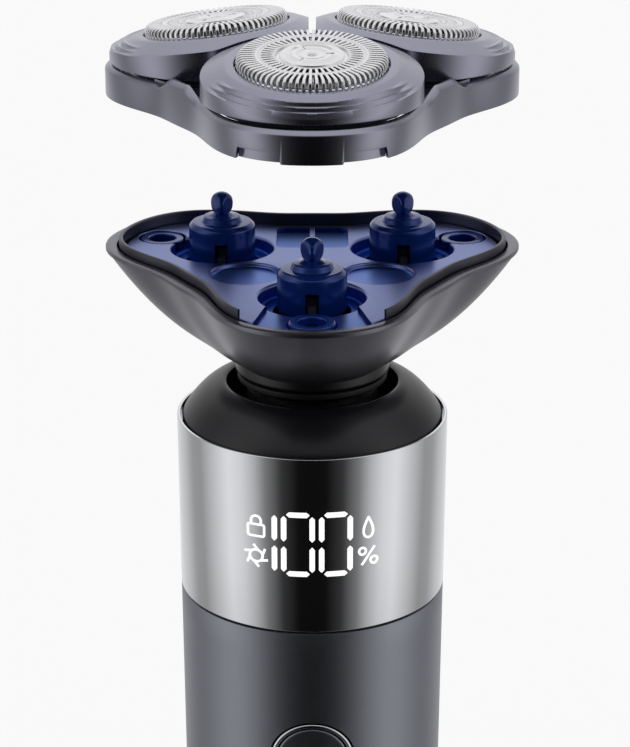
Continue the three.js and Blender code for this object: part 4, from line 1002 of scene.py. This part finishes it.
def bezel_reach(turn):
    """Distance from the spindle's axis to the bezel's outline: a circle set outwards, and two flats
    towards the neighbours, mixed as 1/r^p = sum of 1/r_k^p."""
    steepness = 60
    toward = np.sin(turn) * -BEZEL_OFFSET
    circle = toward + np.sqrt(toward**2 + BEZEL_RADIUS**2 - BEZEL_OFFSET**2)
    total = circle**-steepness
    for facing in (math.pi / 3, 2 * math.pi / 3):
        total = total + (np.clip(np.cos(turn - facing), 0, None) / BEZEL_FLAT) ** steepness
    return total ** (-1 / steepness)


def terraces(radius, turn, settings):
    """Drop of the stepped rings below the plain slope: each ring is flat and then falls; the rings fade
    towards the centre of the shaver."""
    pitch = settings.terrace_pitch / MM
    start = FOIL_RADIUS + GAP + BEZEL_CHAMFER + 1.0
    count = np.clip((radius - start) / pitch, 0, 3)
    flat = np.floor(count) + smoothstep(count % 1, 0.62, 0.98)
    fade = smoothstep(-np.sin(turn), 0.3, 0.75)
    return TERRACE_DEPTH * BEZEL_SLOPE * pitch * (flat - count) * fade


def make_bezel(i, settings):
    """Bezel of one head: a cone round the foil that ends on the bezel's outline, then falls upright."""
    turn = angles(480)
    inner = FOIL_RADIUS + GAP
    chamfer = inner + BEZEL_CHAMFER
    crest = BEZEL_TOP - 0.15

    def cone(radius):
        z = crest - BEZEL_SLOPE * (radius - chamfer) - terraces(radius, turn, settings)
        return leaning(np.stack([radius * np.cos(turn), radius * np.sin(turn), z], axis=-1))

    reach = bezel_reach(turn)
    for _ in range(8):
        x, y, _z = cone(reach).T
        y = y + SPINDLE_CIRCLE
        reach = reach * bezel_reach(np.arctan2(y, x)) / np.hypot(x, y)

    def head_circle(radius, z):
        return leaning(np.stack([radius * np.cos(turn), radius * np.sin(turn), z + 0 * turn], axis=-1))

    def upright(points, z):
        return np.stack([points[:, 0], points[:, 1], z], axis=-1)

    counterbore = FOIL_RADIUS + FOIL_FLANGE + GAP
    shelf = FOIL_FLANGE_TOP + GAP
    rows = [head_circle(inner, shelf), head_circle(inner, BEZEL_TOP - 0.12), head_circle(inner + 0.05, BEZEL_TOP - 0.03),
            head_circle(inner + 0.15, BEZEL_TOP)]
    rows += [head_circle(inner + 0.15 + (BEZEL_CHAMFER - 0.3) * t, BEZEL_TOP - 0.1 * t) for t in (0.35, 0.7, 1)]
    rows += [cone(chamfer + 0.1 + (reach - 0.35 - chamfer - 0.1) * t) for t in np.linspace(0, 1, 64)]
    edge = cone(reach)
    rows += [
        upright(edge * [0.9985, 0.9985, 1], edge[:, 2] - 0.02), upright(edge, edge[:, 2] - 0.16),
        upright(edge, edge[:, 2] - 0.4), upright(edge, BEZEL_BOTTOM + 0.15 + 0 * turn),
        upright(edge * [0.997, 0.997, 1], BEZEL_BOTTOM + 0 * turn),
    ]
    ring = np.stack([
        counterbore * np.cos(turn), counterbore * np.sin(turn) - SPINDLE_CIRCLE, BEZEL_BOTTOM + 0 * turn
    ], axis=-1)
    rows += [ring, head_circle(counterbore, shelf)]
    points, faces = shell(np.stack(rows))
    part = turned_about_z(moved((points, faces), z=CAP), i * 2 * math.pi / 3)
    piece_of(f"bezel_{i + 1}", [part], "bezel", angle=38)


def make_foil(i, settings):
    """Foil of one head: a pressed sheet with two rings of slots, given its thickness by Solidify."""
    columns = 720
    outer_pitch = columns // settings.outer_slots
    inner_pitch = columns // settings.inner_slots
    turn = angles(columns)
    sheet = FOIL_TOP
    bend = 0.9
    rows = [(0.01, sheet - 0.02), (1.2, sheet - 0.02), (1.95, sheet - 0.02), (2.1, sheet + 0.08), (2.55, sheet + 0.11),
            (2.95, sheet + 0.08), (3.1, sheet - 0.02), (4.2, sheet - 0.02), (4.45, sheet - 0.08), (4.55, sheet - 0.42),
            (4.95, sheet - 0.45), (5.1, sheet - 0.18), (5.3, sheet - 0.08)]
    rows += [(radius, sheet - 0.05) for radius in np.linspace(5.4, 7.1, 5)]
    rows += [(7.25, sheet - 0.08), (7.4, sheet - 0.16), (7.55, sheet - 0.06), (7.75, sheet)]
    rows += [(radius, sheet) for radius in np.linspace(7.9, FOIL_RADIUS - bend, 5)]
    rows += [
        (FOIL_RADIUS - bend + bend * math.sin(a), sheet - bend + bend * math.cos(a))
        for a in np.linspace(0.25, math.pi / 2, 7)
    ]
    rows += [(FOIL_RADIUS, sheet - 1.25), (FOIL_RADIUS, FOIL_FLANGE_TOP + 0.3), (FOIL_RADIUS + 0.1, FOIL_FLANGE_TOP + 0.05),
             (FOIL_RADIUS + FOIL_FLANGE, FOIL_FLANGE_TOP)]
    radius, z = np.array(rows).T
    grid = np.stack([
        radius[:, None] * np.cos(turn), radius[:, None] * np.sin(turn), z[:, None] + 0 * turn
    ], axis=-1)
    middle = (radius[:-1] + radius[1:]) / 2
    height = (z[:-1] + z[1:]) / 2
    column = np.arange(columns)
    outer_band = (middle > 7.85) & (height > sheet - 1.2)
    inner_band = (middle > 5.35) & (middle < 7.15)
    outer_open = (column % outer_pitch) < outer_pitch * 0.5
    inner_open = (column % inner_pitch) < inner_pitch * 0.5
    open_faces = outer_band[:, None] & outer_open | inner_band[:, None] & inner_open
    points, faces = shell(leaning(grid), loop_rows=False, keep=~open_faces)
    broken = np.isin(np.arange(len(radius)), np.flatnonzero((radius > 2.0) & (radius < 3.0)))
    gaps = (np.abs(np.sin(1.5 * turn)) < 0.13)[None, :] & broken[:, None]
    flat = grid.copy()
    flat[..., 2] = np.where(gaps, sheet - 0.02, flat[..., 2])
    points = leaning(flat).reshape(-1, 3)
    part = turned_about_z(moved((points, faces), z=CAP), i * 2 * math.pi / 3)
    piece = linked(f"foil_{i + 1}_skin", [part])
    used = bmesh.new()
    used.from_mesh(piece.data)
    bmesh.ops.delete(used, geom=[v for v in used.verts if not v.link_faces], context="VERTS")
    used.normal_update()
    lean_up = sum((f.normal.z for f in used.faces))
    if lean_up < 0:
        bmesh.ops.reverse_faces(used, faces=used.faces)
    used.to_mesh(piece.data)
    used.free()
    finish_piece(piece, f"foil_{i + 1}", "foil", angle=45)
    thickness = piece.modifiers.new("sheet", "SOLIDIFY")
    thickness.thickness = FOIL_SHEET * MM
    thickness.offset = -1


# ---- Carried CAD nodes -------------------------------------------------------------------------
CARRIED = {
    "rubber": ("base_seal", "button_gasket"),
    "steel": ("base_screw_1", "base_screw_2", "motor_can", "motor_shaft", "usb_receptacle"),
    "black": ("chassis", "motor_end_bell", "button_switch", "neck_socket", "gimbal_ring", "gear_floor"),
    "wrap": ("battery_cell",),
    "brass": ("motor_rotor", "neck_bush"),
    "board": ("main_board", "display_board"),
    "lens": ("light_guide",),
    "acetal": ("sun_gear",),
}
CARRIED_BY_LOBE = {
    "acetal": ("driven_gear", "cutter_hub"),
    "steel": ("spindle_spring", "cutter_blades"),
    "black": ("carrier_ring",),
}


def finish_carried():
    """Materials of the CAD nodes that stay as they are."""
    names = [(look, node) for look, nodes in CARRIED.items() for node in nodes]
    names += [
        (look, f"{node}_{i + 1}") for look, nodes in CARRIED_BY_LOBE.items() for node in nodes for i in range(3)
    ]
    for look, node in names:
        mesh = frame["nodes"][node].data
        mesh.materials.clear()
        mesh.materials.append(material(look))


# ---- Stage -------------------------------------------------------------------------------------
# Studio brightness by angle from the camera's side, as (degrees, level on a display from 0 to 1).
STUDIO = [
    (0, 0.055), (12, 0.06), (26, 0.21), (40, 0.48), (50, 0.71), (62, 0.85), (75, 0.90),
    (88, 0.80), (109, 0.59), (122, 0.61), (138, 0.76), (166, 0.88), (180, 0.93),
]
BACKDROP = 0.972
OVERHEAD = 0.86
UNDERSIDE = ((-0.95, -0.45), (0.35, 1.0))  # from these heights to these shares of the level
CAMERA_TILT = math.radians(20)
CAMERA_DISTANCE = 0.3776
CAMERA_TARGET = (0.00041, 0.0, 0.12582)
FLOOR_SIZE = 30.0


def linear(level):
    """Display level to linear light."""
    return ((level + 0.055) / 1.055) ** 2.4 if level > 0.04 else level / 12.92


def make_world():
    """Studio surround: brightness by bearing from the camera's side, and a bright overhead."""
    world = bpy.data.worlds.new("studio")
    bpy.context.scene.world = world
    world.use_nodes = True
    nodes, links = world.node_tree.nodes, world.node_tree.links
    where = nodes.new("ShaderNodeTexCoord")
    axes = nodes.new("ShaderNodeSeparateXYZ")
    links.new(where.outputs["Generated"], axes.inputs["Vector"])
    back = math_node(nodes, links, "MULTIPLY", axes.outputs["Y"], -1.0)
    bearing = math_node(nodes, links, "ARCTAN2", axes.outputs["X"], back)
    share = math_node(nodes, links, "DIVIDE", math_node(nodes, links, "ABSOLUTE", bearing), math.pi)
    ramp = nodes.new("ShaderNodeValToRGB")
    stops = ramp.color_ramp.elements
    for degrees, level in STUDIO:
        value = linear(level)
        stop = stops[0] if degrees == 0 else stops[-1] if degrees == 180 else stops.new(degrees / 180)
        stop.color = (value, value, value * 1.01, 1)
    links.new(share, ramp.inputs["Fac"])
    rise = nodes.new("ShaderNodeMapRange")
    rise.interpolation_type = "SMOOTHSTEP"
    rise.inputs["From Min"].default_value = math.sin(math.radians(28))
    rise.inputs["From Max"].default_value = math.sin(math.radians(72))
    links.new(axes.outputs["Z"], rise.inputs["Value"])
    under = nodes.new("ShaderNodeMapRange")
    under.inputs["From Min"].default_value, under.inputs["From Max"].default_value = UNDERSIDE[0]
    under.inputs["To Min"].default_value, under.inputs["To Max"].default_value = UNDERSIDE[1]
    links.new(axes.outputs["Z"], under.inputs["Value"])
    shade = math_node(nodes, links, "SUBTRACT", 1.0, under.outputs["Result"])
    round_about = mix_colors(nodes, links, shade, ramp.outputs["Color"], (0, 0, 0, 1))
    overhead, pale = linear(OVERHEAD), linear(BACKDROP)
    lit = mix_colors(nodes, links, rise.outputs["Result"], round_about,
                     (overhead, overhead, overhead * 1.03, 1))
    seen = nodes.new("ShaderNodeLightPath")
    shown = mix_colors(nodes, links, seen.outputs["Is Camera Ray"], lit, (pale, pale, pale, 1))
    links.new(shown, nodes["Background"].inputs["Color"])


def make_floor():
    """A large pale floor that glows softly, so that it meets the backdrop without a line."""
    bpy.ops.mesh.primitive_plane_add(size=FLOOR_SIZE)
    floor = bpy.context.object
    floor.name = "floor"
    made = bpy.data.materials.new("floor")
    made.use_nodes = True
    shader = made.node_tree.nodes["Principled BSDF"]
    pale = linear(BACKDROP)
    shader.inputs["Base Color"].default_value = (0.16, 0.16, 0.16, 1)
    shader.inputs["Roughness"].default_value = 1.0
    shader.inputs["Specular IOR Level"].default_value = 0.0
    shader.inputs["Emission Color"].default_value = (1, 1, 1, 1)
    shader.inputs["Emission Strength"].default_value = pale - 0.16 * 0.5
    floor.data.materials.append(made)
    floor.visible_glossy = False
    floor.visible_diffuse = False


def make_camera():
    """Camera at the reference's angle: 20 degrees above the horizon."""
    data = bpy.data.cameras.new("camera")
    camera = bpy.data.objects.new("camera", data)
    bpy.context.scene.collection.objects.link(camera)
    data.lens = 120.5
    data.sensor_width = 36
    x, y, z = CAMERA_TARGET
    camera.location = (
        x, y - CAMERA_DISTANCE * math.cos(CAMERA_TILT), z + CAMERA_DISTANCE * math.sin(CAMERA_TILT)
    )
    camera.rotation_euler = (math.pi / 2 - CAMERA_TILT, 0, 0)
    data.clip_start, data.clip_end = 0.01, 100
    bpy.context.scene.camera = camera


# ---- Add-on --------------------------------------------------------------------------------------
class ShaverSettings(bpy.types.PropertyGroup):
    """Sizes of details that the frame doesn't hold."""

    digit_height: bpy.props.FloatProperty(
        name="Digit height", description="Height of the display's digits", default=0.0102, unit="LENGTH"
    )
    display_below_top: bpy.props.FloatProperty(
        name="Display depth", description="Display's middle below the sleeve's top", default=0.01343, unit="LENGTH"
    )
    terrace_pitch: bpy.props.FloatProperty(
        name="Ring pitch", description="Width of one stepped ring on a bezel", default=0.00095, unit="LENGTH"
    )
    outer_slots: bpy.props.IntProperty(
        name="Outer slots", description="Slots round a foil's edge", default=72, subtype="UNSIGNED"
    )
    inner_slots: bpy.props.IntProperty(
        name="Inner slots", description="Slots in a foil's inner ring", default=48, subtype="UNSIGNED"
    )
    grip_color: bpy.props.FloatVectorProperty(
        name="Grip", description="Colour of the grip, the button and the end cap",
        default=LOOKS["grip"][0], subtype="COLOR"
    )
    bowl_color: bpy.props.FloatVectorProperty(
        name="Bowl", description="Colour of the head's bowl", default=LOOKS["bowl"][0], subtype="COLOR"
    )
    cap_color: bpy.props.FloatVectorProperty(
        name="Cap", description="Colour of the head cap's frame", default=LOOKS["cap"][0], subtype="COLOR"
    )
    # The deck's raised top colour is painted light: it is paler than the painted shade that the deck ramp puts in the
    # wells.
    deck_color: bpy.props.FloatVectorProperty(
        name="Deck", description="Colour of the deck's raised top", default=(0.19, 0.24, 0.52), subtype="COLOR"
    )
    glow_color: bpy.props.FloatVectorProperty(
        name="Display", description="Colour of the lit digits", default=(1.0, 1.0, 1.0), subtype="COLOR"
    )


class SHAVER_OT_stage(bpy.types.Operator):
    """Make the studio, the floor and the camera"""

    bl_idname = "shaver.stage"
    bl_label = "Stage"

    def execute(self, context):
        make_world()
        make_floor()
        make_camera()
        context.scene.view_settings.view_transform = "Standard"
        return {"FINISHED"}


class SHAVER_OT_carried(bpy.types.Operator):
    """Give the carried inner parts their materials"""

    bl_idname = "shaver.carried"
    bl_label = "Inner parts"

    def execute(self, context):
        finish_carried()
        return {"FINISHED"}


class SHAVER_OT_handle(bpy.types.Operator):
    """Make the grip, the sleeve, the shoulder and the end cap"""

    bl_idname = "shaver.handle"
    bl_label = "Handle shells"

    def execute(self, context):
        make_grip()
        make_sleeve()
        make_shoulder()
        make_end_cap()
        return {"FINISHED"}


class SHAVER_OT_button(bpy.types.Operator):
    """Make the power button and its ring"""

    bl_idname = "shaver.button"
    bl_label = "Power button"

    def execute(self, context):
        make_button()
        return {"FINISHED"}


class SHAVER_OT_display(bpy.types.Operator):
    """Make the lit digits and signs"""

    bl_idname = "shaver.display"
    bl_label = "Display"

    def execute(self, context):
        make_display(context.scene.shaver)
        return {"FINISHED"}


class SHAVER_OT_neck(bpy.types.Operator):
    """Make the neck ring and its boot"""

    bl_idname = "shaver.neck"
    bl_label = "Neck"

    def execute(self, context):
        make_neck()
        return {"FINISHED"}


class SHAVER_OT_bowl(bpy.types.Operator):
    """Make the bowl and its seal band"""

    bl_idname = "shaver.bowl"
    bl_label = "Bowl"

    def execute(self, context):
        make_bowl()
        make_seal()
        return {"FINISHED"}


class SHAVER_OT_deck(bpy.types.Operator):
    """Make the deck, its magnets and the drive spindles"""

    bl_idname = "shaver.deck"
    bl_label = "Deck and spindles"

    def execute(self, context):
        make_deck()
        make_magnets()
        make_spindles()
        return {"FINISHED"}


class SHAVER_OT_cap(bpy.types.Operator):
    """Make the lifted head cap's frame"""

    bl_idname = "shaver.cap"
    bl_label = "Head cap"

    def execute(self, context):
        make_cap()
        return {"FINISHED"}


class SHAVER_OT_heads(bpy.types.Operator):
    """Make the three bezels and foils"""

    bl_idname = "shaver.heads"
    bl_label = "Cutting heads"

    def execute(self, context):
        for i in range(3):
            make_bezel(i, context.scene.shaver)
            make_foil(i, context.scene.shaver)
        return {"FINISHED"}


OPERATORS = (
    SHAVER_OT_stage, SHAVER_OT_carried, SHAVER_OT_handle, SHAVER_OT_button, SHAVER_OT_display,
    SHAVER_OT_neck, SHAVER_OT_bowl, SHAVER_OT_deck, SHAVER_OT_cap, SHAVER_OT_heads,
)


class SHAVER_PT_panel(bpy.types.Panel):
    """Buttons for each group of pieces"""

    bl_label = "Shaver"
    bl_space_type = "VIEW_3D"
    bl_region_type = "UI"
    bl_category = "Shaver"

    def draw(self, context):
        for name in ShaverSettings.__annotations__:
            self.layout.prop(context.scene.shaver, name)
        for operator in OPERATORS:
            self.layout.operator(operator.bl_idname)


CLASSES = (ShaverSettings, *OPERATORS, SHAVER_PT_panel)


def register():
    """Register the classes and the scene's settings."""
    for cls in CLASSES:
        bpy.utils.register_class(cls)
    bpy.types.Scene.shaver = bpy.props.PointerProperty(type=ShaverSettings)


def unregister():
    """Undo register()."""
    del bpy.types.Scene.shaver
    for cls in reversed(CLASSES):
        bpy.utils.unregister_class(cls)


def main():
    """Register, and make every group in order."""
    register()
    bpy.ops.shaver.stage()
    bpy.ops.shaver.carried()
    bpy.ops.shaver.handle()
    bpy.ops.shaver.button()
    bpy.ops.shaver.display()
    bpy.ops.shaver.neck()
    bpy.ops.shaver.bowl()
    bpy.ops.shaver.deck()
    bpy.ops.shaver.cap()
    bpy.ops.shaver.heads()


if __name__ == "__main__":
    main()
